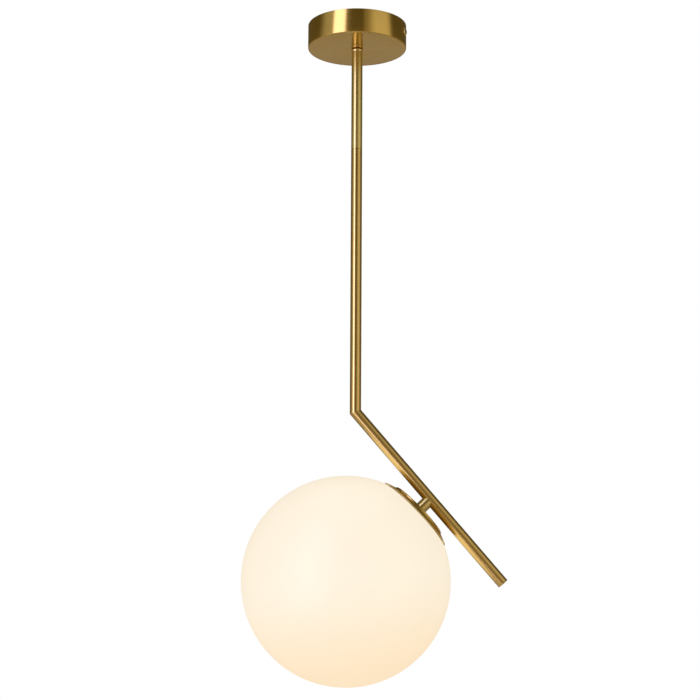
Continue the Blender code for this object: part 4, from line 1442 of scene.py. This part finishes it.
    def earth_point(self) -> None:
        """The earth screw under the bracket, its washer and its lug."""
        place = self.axes @ Matrix.Translation((self.earth_place, 0, 0))
        self.dress(["earth_lug"], PLAIN_BRASS, place)
        self.ring("earth_spring_washer", "earth_washer", ZINC, "zinc_steel", placed=place)
        size = measured("earth_screw", place)
        shank, under = self.screw_hole - GAP, size.low + self.earth_head
        thread = Thread(self.screw_pitch, 0.18 * MM, under + 0.4 * MM, size.high - 0.3 * MM)
        head = [
            (0.0, size.low, 0.0),
            (size.outer, size.low, 0.5 * MM),
            (size.outer, under, 0.15 * MM),
            (shank, under, 0.0),
        ]
        outline = rounded(head, False, 4)
        outline += [(shank - thread.depth, z) for z in thread.heights()]
        outline += [(shank - 0.3 * MM, size.high), (0.0, size.high)]
        screw = threaded("earth_clamp_screw", outline, [thread], place, SMALL_SIDES)
        face = place @ Matrix.Translation((0, 0, size.low))
        slot = self.driver_slot(self.earth_slot, MM, 2 * size.outer, face)
        self.place(cut(screw, [slot]), PLAIN_BRASS, "plain_brass", ["earth_screw"], place)

    def wiring(self) -> None:
        """The cable's last stretch and its three cores, whose tubes the frame holds."""
        self.dress(["cable_tail"], CABLE_SHEATH)
        self.dress(["live_lead"], LIVE_CORE)
        self.dress(["neutral_lead"], NEUTRAL_CORE)
        self.dress(["earth_lead"], EARTH_CORE)


@dataclass
class Rod(SubAssembly):
    """The rod: its fixing in the canopy, its two tubes, the arm and the cable inside."""

    body: Body = Body.HANGING
    run: ArmRun = field(default_factory=ArmRun.from_frame)
    wall: float = 1.2 * MM
    thread_pitch: float = 1.0 * MM
    outer_rounding: float = 2.6 * MM
    bend_steps: int = 8
    cable_hole: float = 3.4 * MM

    def build(self) -> None:
        """Builds every piece of the rod."""
        self.swivel_hardware()
        self.collar()
        self.ring("upper_rod", "upper_tube", PALE_BRASS, "brushed_brass", 0.12 * MM, ROUND_SIDES)
        self.nipple("joint_nipple", "coupling_nipple")
        self.bent_tube()
        self.plug()
        self.dress(["lamp_cable"], CABLE_SHEATH)

    def nipple(self, name: str, node: str, placed: Matrix | None = None) -> None:
        """A threaded tube that joins two pieces.

        Args:
            name: The piece's name.
            node: The node that it stands for.
            placed: Its axis, where it isn't the rod's.
        """
        axes = placed or self.axes
        size = measured(node, axes)
        lead_in = 0.3 * MM
        thread = Thread(
            self.thread_pitch,
            0.22 * MM,
            size.low + lead_in,
            size.high - lead_in,
            size.inner + lead_in,
        )
        skin = size.outer - thread.depth
        outline = [(size.inner, size.low), (skin - 0.2 * MM, size.low)]
        outline += [(skin, z) for z in thread.heights()]
        outline += [(skin - 0.2 * MM, size.high), (size.inner, size.high)]
        made = threaded(name, outline, [thread], axes, SMALL_SIDES)
        self.place(made, ZINC, "zinc_steel", [node], axes)

    def hexagon(self, name: str, node: str, placed: Matrix | None = None) -> None:
        """A hexagon nut with chamfered corners and a bored hole.

        Args:
            name: The piece's name.
            node: The node that it stands for.
            placed: Its axis, where it isn't the rod's.
        """
        axes = placed or self.axes
        size = measured(node, axes)
        prism = [(0.0, size.low), (size.outer, size.low), (size.outer, size.high), (0.0, size.high)]
        nut = revolved(name, prism, axes, 6)
        flat = size.outer * math.cos(math.pi / 6)
        lift = (size.outer - flat) * math.tan(math.radians(30))
        cone = [
            (0.0, size.low),
            (flat, size.low),
            (size.outer, size.low + lift),
            (size.outer, size.high - lift),
            (flat, size.high),
            (0.0, size.high),
        ]
        envelope = revolved("envelope", cone, axes, TUBE_SIDES)
        both = nut.modifiers.new("chamfer", "BOOLEAN")
        both.operation, both.object = "INTERSECT", envelope
        nut = evaluated(nut)
        bpy.data.objects.remove(envelope, do_unlink=True)
        ends = [axes @ Vector((0, 0, z)) for z in (size.low - MM, size.high + MM)]
        self.place(cut(nut, [pin("bore", *ends, size.inner)]), ZINC, "zinc_steel", [node], axes)

    def swivel_hardware(self) -> None:
        """The nipple, the nut and the washers that hold the rod in the canopy and let it turn."""
        self.nipple("rod_nipple", "top_nipple")
        self.hexagon("rod_nut", "hex_nut")
        self.dress(["lock_washer", "tab_washer"], ZINC)

    def collar(self) -> None:
        """The bright ring between the canopy and the rod."""
        size = measured("rod_collar", self.axes)
        corners = [
            (size.inner, size.low, 0.1 * MM),
            (size.outer - 0.3 * MM, size.low, 0.3 * MM),
            (size.outer, (size.low + size.high) / 2, 0.5 * MM),
            (size.outer - 0.2 * MM, size.high, 0.35 * MM),
            (size.inner, size.high, 0.1 * MM),
        ]
        made = revolved("rod_collar_ring", rounded(corners, True), self.axes, ROUND_SIDES)
        self.place(made, BRIGHT_BRASS, "polished_brass", ["rod_collar"])

    def bent_tube(self) -> None:
        """The lower rod and the arm, mitred and brazed, with the bend filed round outside."""
        size = measured("upper_tube", self.axes)
        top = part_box("bent_arm")[1].z
        down, arm = Vector((0, 0, -1)), self.run.direction
        across = Vector((0, 1, 0))
        normal = (down + arm).normalized()
        start = Vector((0, 0, top))
        end = self.run.bend + arm * self.run.length
        # The rounding fades from the bend's outer side to nothing inside, where the mitre is sharp.
        lines: list[list[Vector]] = []
        for skin in (size.outer, size.outer - self.wall):
            for side in range(ROUND_SIDES):
                angle = 2 * math.pi * side / ROUND_SIDES
                x, y = skin * math.cos(angle), skin * math.sin(angle)
                first = across.cross(down) * x + across * y
                second = across.cross(arm) * x + across * y
                corner = self.run.bend + first - down * (first.dot(normal) / down.dot(normal))
                outward = max(0.0, -first.dot(arm)) / (skin * math.sin(down.angle(arm)))
                lines.append(self.line(start + first, corner, end + second, outward, down, arm))
        count = len(lines[0])
        points = [point for line in lines for point in line]
        faces = []
        for skin in range(2):
            for side in range(ROUND_SIDES):
                here = (skin * ROUND_SIDES + side) * count
                there = (skin * ROUND_SIDES + (side + 1) % ROUND_SIDES) * count
                faces += [
                    [here + i, there + i, there + i + 1, here + i + 1] for i in range(count - 1)
                ]
        for end_point in (0, count - 1):
            for side in range(ROUND_SIDES):
                here, there = side * count, (side + 1) % ROUND_SIDES * count
                shift = ROUND_SIDES * count
                faces.append([i + end_point for i in (here, there, there + shift, here + shift)])
        tube = mesh_object("lower_rod_and_arm", points, faces)
        stem = measured("stem", head_axes())
        head = head_axes()
        ends = [head @ Vector((0, 0, height)) for height in (stem.low, stem.high + 3 * MM)]
        tube = cut(tube, [pin("cable_hole", *ends, self.cable_hole)])
        for axes in (self.axes, self.run.axes()):
            tube.data.materials.append(DEEP_BRASS.material(axes))
        for face in tube.data.polygons:
            face.material_index = int((face.center - self.run.bend).dot(normal) > 0)
        self.place(tube, None, "brushed_brass", ["bent_arm"])

    def line(
        self,
        start: Vector,
        corner: Vector,
        end: Vector,
        outward: float,
        down: Vector,
        arm: Vector,
    ) -> list[Vector]:
        """One line along the bent tube, with its corner rounded.

        Args:
            start: Where the line starts.
            corner: Where the mitre would put its corner.
            end: Where the line ends.
            outward: How far the line is on the bend's outer side, from 0 to 1.
            down: The direction of the rod.
            arm: The direction of the arm.

        Returns:
            The line's points.
        """
        half = (math.pi - down.angle(arm)) / 2
        rounding = self.outer_rounding * outward + 0.02 * MM
        reach = rounding / math.tan(half)
        centre = corner + (arm - down).normalized() * rounding / math.sin(half)
        first = corner - down * reach - centre
        turn = math.pi - 2 * half
        axis = down.cross(arm).normalized()
        middle = [
            centre + Matrix.Rotation(turn * step / self.bend_steps, 3, axis) @ first
            for step in range(self.bend_steps + 1)
        ]
        return [start, *middle, end]

    def plug(self) -> None:
        """The turned plug that closes the end of the arm."""
        axes = self.run.axes()
        size = measured("arm_end_plug", axes)
        bore = measured("upper_tube", self.axes).outer - self.wall
        disc = self.run.length + GAP
        corners = [
            (0.0, size.low, 0.0),
            (bore - GAP, size.low, 0.4 * MM),
            (bore - GAP, disc, 0.0),
            (size.outer, disc, 0.12 * MM),
            (size.outer, size.high, 0.35 * MM),
            (0.0, size.high, 0.0),
        ]
        made = revolved("arm_plug", rounded(corners, False), axes, ROUND_SIDES)
        self.place(made, DEEP_BRASS, "brushed_brass", ["arm_end_plug"], axes)


@dataclass
class Head(Rod):
    """The stem on the arm, the boss, the dished cap, and what holds them together inside."""

    cap_plate: float = 1.2 * MM
    lip: float = 0.55 * MM
    hub_plate: float = 2.5 * MM
    hub_wall: float = 3.0 * MM
    hub_pitch: float = 3.0 * MM

    def build(self) -> None:
        """Builds every piece of the head."""
        self.stem()
        self.boss()
        self.cap()
        self.hub()
        self.nipple("head_tube", "head_nipple", self.axes)
        self.hexagon("hub_nut", "head_nut", self.axes)

    def stem(self) -> None:
        """The short tube between arm and boss, its end cut to sit round the arm."""
        corners = measured("stem", self.axes).bored(0.1 * MM, 0.35 * MM, 0.0, 0.0)
        tube = revolved("stem_tube", rounded(corners, True), self.axes, ROUND_SIDES)
        radius = measured("upper_tube", rod_axes()).outer + GAP
        crossing = self.crossing()
        ends = [crossing + self.run.direction * reach for reach in (-25 * MM, 25 * MM)]
        tube = cut(tube, [pin("arm_space", *ends, radius, ROUND_SIDES)])
        tube = bevelled(tube, 0.25 * MM)
        self.place(tube, PALE_BRASS, "brushed_brass", ["stem"])

    def crossing(self) -> Vector:
        """Finds where the head's axis meets the arm's.

        Returns:
            The point where they meet.
        """
        origin, away = self.axes.translation, self.axes.to_3x3() @ Vector((0, 0, 1))
        arm, bend = self.run.direction, self.run.bend
        spread = away.x * arm.z - away.z * arm.x
        gap = bend - origin
        reach = (gap.x * arm.z - gap.z * arm.x) / spread
        return origin + away * reach

    def boss(self) -> None:
        """The low turned disc on the cap, its upper edge softly rounded."""
        corners = measured("cap_boss", self.axes).bored(0.1 * MM, 0.15 * MM, 1.0 * MM, 0.1 * MM)
        made = revolved("boss_disc", rounded(corners, True, 6), self.axes, ROUND_SIDES)
        self.place(made, BRASS, "brushed_brass", ["cap_boss"])

    def cap(self) -> None:
        """The spun cap, with its recess for the boss and its thin lip over the glass."""
        size = measured("cap_dish", self.axes)
        boss, mouth = measured("cap_boss", self.axes), measured("neck_ring", self.axes).outer
        glass = measured("glass_globe", self.axes)
        seat = -glass.low + GAP
        skin, plate = seat + self.lip, seat + self.lip - self.cap_plate
        recess, lip_start = boss.outer + GAP, mouth - GAP
        floor = boss.low - GAP
        outside = sphere_points(skin, recess, size.outer, 10)
        inside = sphere_points(seat, size.outer - self.lip / 2, lip_start, 4)
        under = sphere_points(plate, lip_start - self.lip, recess + self.cap_plate, 4)
        outside[0] = (*outside[0][:2], 0.25 * MM)
        outside[-1] = (*outside[-1][:2], 0.2 * MM)
        inside[0] = (*inside[0][:2], 0.15 * MM)
        corners = [(size.inner, floor, 0.1 * MM), (recess, floor, 0.1 * MM)]
        corners += outside + inside + under
        corners += [
            (recess + self.cap_plate, floor - self.cap_plate, 0.4 * MM),
            (size.inner, floor - self.cap_plate, 0.1 * MM),
        ]
        made = revolved("cap_shell", rounded(corners, True, 4), self.axes, ROUND_SIDES)
        self.place(made, BRASS, "brushed_brass", ["cap_dish"])

    def hub(self) -> None:
        """The aluminium hub that the globe screws onto."""
        size = measured("thread_hub", self.axes)
        bore, plate = size.outer - self.hub_wall, size.high - self.hub_plate
        thread = Thread(
            self.hub_pitch, 0.25 * MM, size.low + 0.5 * MM, size.high - 0.8 * MM, size.outer - MM
        )
        skin = size.outer - thread.depth
        outline = [(size.inner, size.high), (skin - 0.3 * MM, size.high)]
        outline += [(skin, z) for z in reversed(thread.heights())]
        outline += [(skin - 0.3 * MM, size.low), (bore, size.low)]
        outline += [(bore, plate), (size.inner, plate)]
        made = threaded("globe_hub", outline, [thread], self.axes, ROUND_SIDES)
        self.place(made, ALUMINIUM, "turned_aluminium", ["thread_hub"])


@dataclass
class Lampholder(SubAssembly):
    """The lampholder for a 27 mm screw cap, which hangs inside the globe."""

    body: Body = Body.HANGING
    wall: float = 2.0 * MM
    shell_wall: float = 0.6 * MM
    thread_pitch: float = 3.629 * MM

    def build(self) -> None:
        """Builds every piece of the lampholder."""
        self.housing()
        self.screw_shell()
        self.disc()
        self.dress(["centre_contact"], PLAIN_BRASS)
        self.ring("cable_clamp_ring", "cord_grip", WHITE_PLASTIC, "white_plastic", 0.4 * MM)
        self.dress(["holder_live_lead"], LIVE_CORE)
        self.dress(["holder_neutral_lead"], NEUTRAL_CORE)

    def housing(self) -> None:
        """The two moulded halves: the cap and the sleeve round the screw shell."""
        cap = measured("lampholder_cap", self.axes)
        inner, roof = cap.outer - self.wall, cap.high - self.wall
        corners = [
            (inner, cap.low, 0.2 * MM),
            (cap.outer, cap.low, 0.3 * MM),
            (cap.outer, cap.high, 2.2 * MM),
            (cap.inner, cap.high, 0.3 * MM),
            (cap.inner, roof, 0.2 * MM),
            (inner, roof, 1.0 * MM),
        ]
        made = revolved("holder_cap", rounded(corners, True), self.axes, TUBE_SIDES)
        self.place(made, BLACK_PLASTIC, "black_plastic", ["lampholder_cap"])
        body, shell = measured("lampholder_body", self.axes), measured("holder_shell", self.axes)
        seat = shell.high - self.shell_wall - GAP
        corners = [
            (inner, body.high, 0.2 * MM),
            (inner, seat, 0.3 * MM),
            (shell.outer + GAP, seat, 0.2 * MM),
            (shell.outer + GAP, body.low, 0.4 * MM),
            (body.outer, body.low, 1.2 * MM),
            (body.outer, body.high, 0.4 * MM),
        ]
        made = revolved("holder_sleeve", rounded(corners, True), self.axes, TUBE_SIDES)
        self.place(made, BLACK_PLASTIC, "black_plastic", ["lampholder_body"])

    def disc(self) -> None:
        """The fired steatite disc that carries the contacts."""
        corners = measured("contact_block", self.axes).solid(0.5 * MM, 0.5 * MM)
        made = revolved("contact_disc", rounded(corners, False), self.axes, TUBE_SIDES)
        self.place(made, STEATITE, "steatite", ["contact_block"])

    def screw_shell(self) -> None:
        """The brass shell with its rolled thread."""
        size = measured("holder_shell", self.axes)
        bore = size.outer - self.shell_wall
        top = size.high - self.shell_wall
        thread = Thread(
            self.thread_pitch, 0.12 * MM, size.low + MM, top - MM, bore - 0.2 * MM, size.outer
        )
        outline = [(size.inner, size.high), (size.outer, size.high)]
        outline += [(size.outer - thread.depth, z) for z in reversed(thread.heights())]
        outline += [(size.outer - thread.depth, size.low), (bore + thread.depth, size.low)]
        outline += [(bore + thread.depth, z) for z in thread.heights()]
        outline += [(bore, top), (size.inner, top)]
        made = threaded("holder_screw_shell", outline, [thread], self.axes, TUBE_SIDES)
        self.place(made, PLAIN_BRASS, "plain_brass", ["holder_shell"])


@dataclass
class Globe(SubAssembly):
    """The opal glass globe, its threaded ring and its gasket."""

    body: Body = Body.GLOBE
    glass_wall: float = 2.5 * MM
    thread_pitch: float = 3.0 * MM
    sides: int = 192
    rows: int = 200
    # The glow warms towards the bottom of the globe, a little on the arm's side.
    warm_side: tuple[float, float, float] = (0.12, 0.0, -1.0)

    def build(self) -> None:
        """Builds every piece of the globe."""
        self.glass()
        self.neck_ring()
        self.ring(
            "globe_seal",
            "globe_gasket",
            SILICONE,
            "gasket_rubber",
            0.25 * MM,
            ROUND_SIDES,
            Body.GASKET,
        )

    def glass(self) -> None:
        """The blown shell: one skin, up the outside, over the mouth's edge and down inside."""
        size = measured("glass_globe", self.axes)
        mouth = measured("neck_ring", self.axes).outer + GAP
        shape = NodeShape(
            "blown_globe",
            {"Radius": -size.low, "Wall": self.glass_wall, "Mouth": mouth, "Edge": 3 / self.rows},
        )
        grid = add_node(
            shape.tree,
            "GeometryNodeMeshGrid",
            {
                "Size X": 1.0,
                "Size Y": 1.0,
                "Vertices X": self.rows + 1,
                "Vertices Y": self.sides + 1,
            },
        )
        moved = add_node(
            shape.tree,
            "GeometryNodeSetPosition",
            {"Geometry": grid.outputs["Mesh"], "Position": self.blown_point(shape)},
        )
        joined = add_node(
            shape.tree,
            "GeometryNodeMergeByDistance",
            {"Geometry": moved.outputs[0], "Distance": 0.002 * MM},
        )
        down = self.axes.to_3x3().inverted() @ Vector(self.warm_side).normalized()
        finish = OpalGlass("glass_blown_opal_lit", radius=-size.low, down=tuple(down))
        made = shape.run(joined.outputs[0], "opal_globe", finish.material(self.axes))
        made.data.transform(self.axes)
        face_outwards(made.data)
        self.place(made, None, "opal_glass", ["glass_globe"])

    @staticmethod
    def blown_point(shape: NodeShape) -> bpy.types.NodeSocket:
        """Works out where a point of the flat grid goes on the globe.

        The grid's X runs from the bottom of the outside, over the mouth, to the bottom of the
        inside, and its Y runs once round.

        Args:
            shape: The globe's tree.

        Returns:
            The point's place.
        """
        place = add_node(shape.tree, "GeometryNodeInputPosition")
        apart = add_node(shape.tree, "ShaderNodeSeparateXYZ", {0: place.outputs[0]})
        across, around = apart.outputs["X"], apart.outputs["Y"]
        inward = add_node(
            shape.tree,
            "ShaderNodeMapRange",
            {
                "Value": across,
                "From Min": shape.math("MULTIPLY", shape.size("Edge"), -1.0),
                "From Max": shape.size("Edge"),
            },
        ).outputs["Result"]
        radius = shape.math(
            "SUBTRACT", shape.size("Radius"), shape.math("MULTIPLY", inward, shape.size("Wall"))
        )
        lip = shape.math("ARCSINE", shape.math("DIVIDE", shape.size("Mouth"), radius))
        share = shape.math("MULTIPLY", shape.math("ABSOLUTE", across), 2.0)
        rest = shape.math("SUBTRACT", math.pi, lip)
        polar = shape.math("MULTIPLY_ADD", share, rest, lip)
        turn = shape.math("MULTIPLY", around, 2 * math.pi)
        reach = shape.math("MULTIPLY", radius, shape.math("SINE", polar))
        point = add_node(
            shape.tree,
            "ShaderNodeCombineXYZ",
            {
                "X": shape.math("MULTIPLY", reach, shape.math("COSINE", turn)),
                "Y": shape.math("MULTIPLY", reach, shape.math("SINE", turn)),
                "Z": shape.math("MULTIPLY", radius, shape.math("COSINE", polar)),
            },
        )
        return point.outputs[0]

    def neck_ring(self) -> None:
        """The threaded ring bonded into the globe's mouth."""
        size = measured("neck_ring", self.axes)
        thread = Thread(
            self.thread_pitch,
            0.2 * MM,
            size.low + 0.4 * MM,
            size.high - 0.4 * MM,
            size.inner,
            size.inner + MM,
        )
        bore = size.inner + thread.depth
        outline = [(size.outer, size.high), (size.outer, size.low), (bore + 0.3 * MM, size.low)]
        outline += [(bore, z) for z in thread.heights()]
        outline += [(bore + 0.3 * MM, size.high)]
        made = threaded("globe_ring", outline, [thread], self.axes, ROUND_SIDES)
        self.place(made, ALUMINIUM, "turned_aluminium", ["neck_ring"])


@dataclass
class Lamp(SubAssembly):
    """The LED lamp with its 27 mm screw cap."""

    body: Body = Body.LAMP
    wall: float = 1.4 * MM
    metal: float = 0.5 * MM
    rim: float = 2.2 * MM
    thread_pitch: float = 3.629 * MM

    def build(self) -> None:
        """Builds every piece of the lamp."""
        self.cap_shell()
        self.contact()
        self.plastic()
        self.boards()

    def cap_shell(self) -> None:
        """The aluminium cap with its rolled thread."""
        size = measured("lamp_cap_shell", self.axes)
        top = size.high - self.rim
        thread = Thread(
            self.thread_pitch, 0.35 * MM, size.low + 3 * MM, top, size.outer - 1.5 * MM, size.outer
        )
        skin = size.outer - thread.depth
        outline = [(size.inner, size.high), (size.inner + self.metal, size.high)]
        outline += [(skin, z) for z in reversed(thread.heights())]
        outline += [(size.outer, size.low), (size.outer - self.metal, size.low)]
        outline += [(skin - self.metal, z) for z in thread.heights()]
        made = threaded("lamp_screw_cap", outline, [thread], self.axes, TUBE_SIDES)
        self.place(made, ALUMINIUM, "turned_aluminium", ["lamp_cap_shell"])

    def contact(self) -> None:
        """The tip contact and the glass-filled insulator under it."""
        tip = measured("lamp_tip_contact", self.axes)
        corners = [
            (0, tip.low, 0),
            (tip.outer, tip.low, 0.1 * MM),
            (tip.outer * 0.92, tip.high, 0.7 * MM),
            (0, tip.high, 0),
        ]
        made = revolved("lamp_tip", rounded(corners, False), self.axes, SMALL_SIDES)
        self.place(made, PLAIN_BRASS, "plain_brass", ["lamp_tip_contact"], body=Body.LAMP_TIP)
        size = measured("lamp_insulator", self.axes)
        corners = [
            (0, size.low, 0),
            (size.outer, size.low, 0.2 * MM),
            (tip.outer, size.high, 1.0 * MM),
            (0, size.high, 0),
        ]
        made = revolved("lamp_tip_insulator", rounded(corners, False), self.axes, TUBE_SIDES)
        self.place(made, BLACK_PLASTIC, "black_plastic", ["lamp_insulator"])

    def plastic(self) -> None:
        """The lamp's moulded neck and its frosted dome."""
        neck, cap = measured("lamp_housing", self.axes), measured("lamp_cap_shell", self.axes)
        board = measured("lamp_led_board", self.axes)
        cone_top, collar = cap.low - GAP, cap.outer - self.metal - GAP
        ledge = neck.outer - 2 * self.wall
        corners = [
            (neck.outer, neck.low, 0.2 * MM),
            (neck.outer, board.high + self.wall, 3.0 * MM),
            (cap.outer, cone_top, 0.3 * MM),
            (collar, cone_top, 0.0),
            (collar, neck.high, 0.3 * MM),
            (collar - self.wall, neck.high, 0.2 * MM),
            (collar - self.wall, cone_top, 0.5 * MM),
            (ledge, board.high + GAP, 0.5 * MM),
            (neck.outer - self.wall, board.high + GAP, 0.1 * MM),
            (neck.outer - self.wall, neck.low, 0.2 * MM),
        ]
        made = revolved("lamp_neck", rounded(corners, True), self.axes, ROUND_SIDES)
        self.place(made, WHITE_PLASTIC, "white_plastic", ["lamp_housing"])
        dome = measured("lamp_diffuser", self.axes)
        middle = dome.low + dome.outer
        outside, inside = (
            [
                (radius * math.sin(angle), middle - radius * math.cos(angle))
                for angle in (math.pi / 2 * step / DOME_STEPS for step in range(DOME_STEPS + 1))
            ]
            for radius in (dome.outer, dome.outer - self.wall)
        )
        outside[0], inside[0] = (0.0, dome.low), (0.0, dome.low + self.wall)
        neck_bore = neck.outer - self.wall
        outline = outside + [(neck.outer, dome.high), (neck_bore, dome.high)] + inside[::-1]
        made = revolved("lamp_dome", outline, self.axes, TUBE_SIDES)
        finish = OpalGlass(
            "polycarbonate_frosted_lit", glow="#FFF6E0", warm="#FFE9C0", radius=dome.outer
        )
        self.place(made, finish, "lamp_diffuser", ["lamp_diffuser"])

    def boards(self) -> None:
        """The driver board in the neck, and the aluminium board that carries the LEDs."""
        self.dress(["lamp_driver_board"], BOARD)
        self.ring("lamp_led_plate", "lamp_led_board", ALUMINIUM, "turned_aluminium")


# ---- Studio -------------------------------------------------------------------------------------


@dataclass(frozen=True)
class Softbox:
    """A tall soft light in the room round the light, as polished metal sees it.

    Its place is an angle round the room, where 0 is the side that the camera stands on and +X is at
    90, and a range of heights, all in degrees.
    """

    azimuth: float
    half_width: float
    feather: float
    strength: float
    colour: str = "#FFFCF5"
    bottom: float = -21
    top: float = 50
    fade: float = 8


@dataclass
class Studio:
    """The room: its lights, its floor and its camera."""

    softboxes: tuple[Softbox, ...] = (
        Softbox(-45, 11, 7, 2.35, "#DCD2FF", bottom=-17),
        Softbox(-60, 14, 32, 0.3, bottom=-30),
        Softbox(46, 32, 3, 0.13, "#FFF0D0", bottom=-15, top=32, fade=12),
        Softbox(54, 12, 26, 0.37, "#FFF6E4", bottom=-15, top=30, fade=12),
        Softbox(-25, 30, 20, 0.1, "#FFC080", bottom=-70, top=-20, fade=10),
        Softbox(180, 30, 30, 0.15, "#D0E0FF", bottom=-60, top=-16, fade=12),
        Softbox(-180, 30, 30, 0.15, "#D0E0FF", bottom=-60, top=-16, fade=12),
        Softbox(0, 181, 1, 0.5, bottom=65, top=91, fade=12),
    )
    walls: tuple[float, float, float] = (0.105, 0.082, 0.034)
    ground: tuple[float, float, float] = (0.25, 0.185, 0.1)
    # The walls fade into the ground between these two angles above the horizon.
    horizon: tuple[float, float] = (22, -10)
    floor_drop: float = 2.4
    floor_radius: float = 3.0
    floor_thickness: float = 0.02
    lens: float = 82.29
    camera_place: tuple[float, float, float] = (-0.08937, -1.54053, -0.58974)
    heading: float = 3.1128
    pitch: float = 9.486
    roll: float = 0.3061

    def build(self) -> None:
        """Sets up the room."""
        self.camera()
        self.room()
        self.floor()

    def camera(self) -> None:
        """The camera, a little below the canopy and looking slightly up."""
        data = bpy.data.cameras.new("camera")
        data.sensor_width = 36.0
        data.lens = self.lens
        data.clip_start, data.clip_end = 0.05, 50.0
        camera = bpy.data.objects.new("camera", data)
        bpy.context.scene.collection.objects.link(camera)
        turn = Matrix.Rotation(-math.radians(self.heading), 4, "Z")
        lift = Matrix.Rotation(math.pi / 2 + math.radians(self.pitch), 4, "X")
        roll = Matrix.Rotation(math.radians(self.roll), 4, "Z")
        camera.matrix_world = Matrix.Translation(self.camera_place) @ turn @ lift @ roll
        bpy.context.scene.camera = camera

    def room(self) -> None:
        """A white backdrop for the camera, and soft tall lights for everything that reflects."""
        scene = bpy.context.scene
        scene.view_settings.view_transform = "Standard"
        world = bpy.data.worlds.new("white_room")
        scene.world = world
        world.use_nodes = True
        tree = world.node_tree
        tree.nodes.clear()
        coordinates = add_node(tree, "ShaderNodeTexCoord")
        apart = add_node(tree, "ShaderNodeSeparateXYZ", {0: coordinates.outputs["Generated"]})
        toward = add_node(
            tree, "ShaderNodeMath", {0: apart.outputs["Y"], 1: -1.0}, operation="MULTIPLY"
        )
        azimuth = add_node(
            tree,
            "ShaderNodeMath",
            {0: apart.outputs["X"], 1: toward.outputs[0]},
            operation="ARCTAN2",
        )
        height = add_node(
            tree, "ShaderNodeMath", {0: apart.outputs["Z"]}, operation="ARCSINE"
        )
        low = self.edge(tree, height.outputs[0], *self.horizon)
        total = add_node(
            tree,
            "ShaderNodeMix",
            {0: low, 4: self.walls, 5: self.ground},
            data_type="VECTOR",
        ).outputs[1]
        for box in self.softboxes:
            total = self.lit_by(tree, box, azimuth.outputs[0], height.outputs[0], total)
        lit = add_node(tree, "ShaderNodeBackground", {"Color": total, "Strength": 1.0})
        seen = add_node(tree, "ShaderNodeBackground", {"Color": (1, 1, 1, 1), "Strength": 1.0})
        path = add_node(tree, "ShaderNodeLightPath")
        mix = add_node(
            tree,
            "ShaderNodeMixShader",
            {0: path.outputs["Is Camera Ray"], 1: lit.outputs[0], 2: seen.outputs[0]},
        )
        add_node(tree, "ShaderNodeOutputWorld", {0: mix.outputs[0]})

    def lit_by(
        self,
        tree: bpy.types.NodeTree,
        box: Softbox,
        azimuth: bpy.types.NodeSocket,
        height: bpy.types.NodeSocket,
        room: bpy.types.NodeSocket,
    ) -> bpy.types.NodeSocket:
        """Adds a softbox to the room.

        Args:
            tree: The world's node tree.
            box: The softbox.
            azimuth: The angle round the room, in radians.
            height: The angle above the horizon, in radians.
            room: The room's colour without it.

        Returns:
            The room's colour with it.
        """
        away = add_node(
            tree,
            "ShaderNodeMath",
            {0: azimuth, 1: math.radians(box.azimuth)},
            operation="SUBTRACT",
        )
        size = add_node(tree, "ShaderNodeMath", {0: away.outputs[0]}, operation="ABSOLUTE")
        glow = box.strength
        for value, start, end in (
            (size.outputs[0], box.half_width + box.feather, box.half_width),
            (height, box.bottom - box.fade, box.bottom),
            (height, box.top + box.fade, box.top),
        ):
            edge = self.edge(tree, value, start, end)
            glow = add_node(tree, "ShaderNodeMath", {0: edge, 1: glow}, operation="MULTIPLY")
            glow = glow.outputs[0]
        return add_node(
            tree,
            "ShaderNodeVectorMath",
            {0: glow, 1: srgb(box.colour)[:3], 2: room},
            operation="MULTIPLY_ADD",
        ).outputs[0]

    @staticmethod
    def edge(
        tree: bpy.types.NodeTree, value: bpy.types.NodeSocket, start: float, end: float
    ) -> bpy.types.NodeSocket:
        """Fades from 0 to 1 between two angles.

        Args:
            tree: The world's node tree.
            value: The angle, in radians.
            start: Where the fade starts, in degrees.
            end: Where it ends, in degrees.

        Returns:
            The faded value.
        """
        node = add_node(
            tree,
            "ShaderNodeMapRange",
            {"Value": value, "From Min": math.radians(start), "From Max": math.radians(end)},
            interpolation_type="SMOOTHSTEP",
        )
        return node.outputs["Result"]

    def floor(self) -> None:
        """A pale floor, a room's height below the ceiling."""
        place = Matrix.Translation((0, 0, -self.floor_drop))
        rim, under = self.floor_radius, -self.floor_thickness
        outline = [(0.0, 0.0), (rim, 0.0), (rim, under), (0.0, under)]
        floor = revolved("floor", outline, place, ROUND_SIDES)
        floor.data.materials.append(FLOOR.material(place))


def bracket_axes() -> Matrix:
    """Finds the axes of the bracket.

    Returns:
        The ceiling's axes, turned about Z so that X points at the first side screw.
    """
    low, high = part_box("side_screw_1")
    middle = (low + high) / 2
    return Matrix.Rotation(math.atan2(middle.y, middle.x), 4, "Z")


def main() -> None:
    """Builds the studio and the light."""
    logging.basicConfig(level=logging.INFO, format="%(name)s: %(message)s")
    Studio().build()
    head = head_axes()
    groups = (
        CeilingMount(bracket_axes()),
        Rod(rod_axes()),
        Head(head),
        Lampholder(head),
        Globe(head),
        Lamp(head),
    )
    for group in groups:
        group.build()


if __name__ == "__main__":
    main()
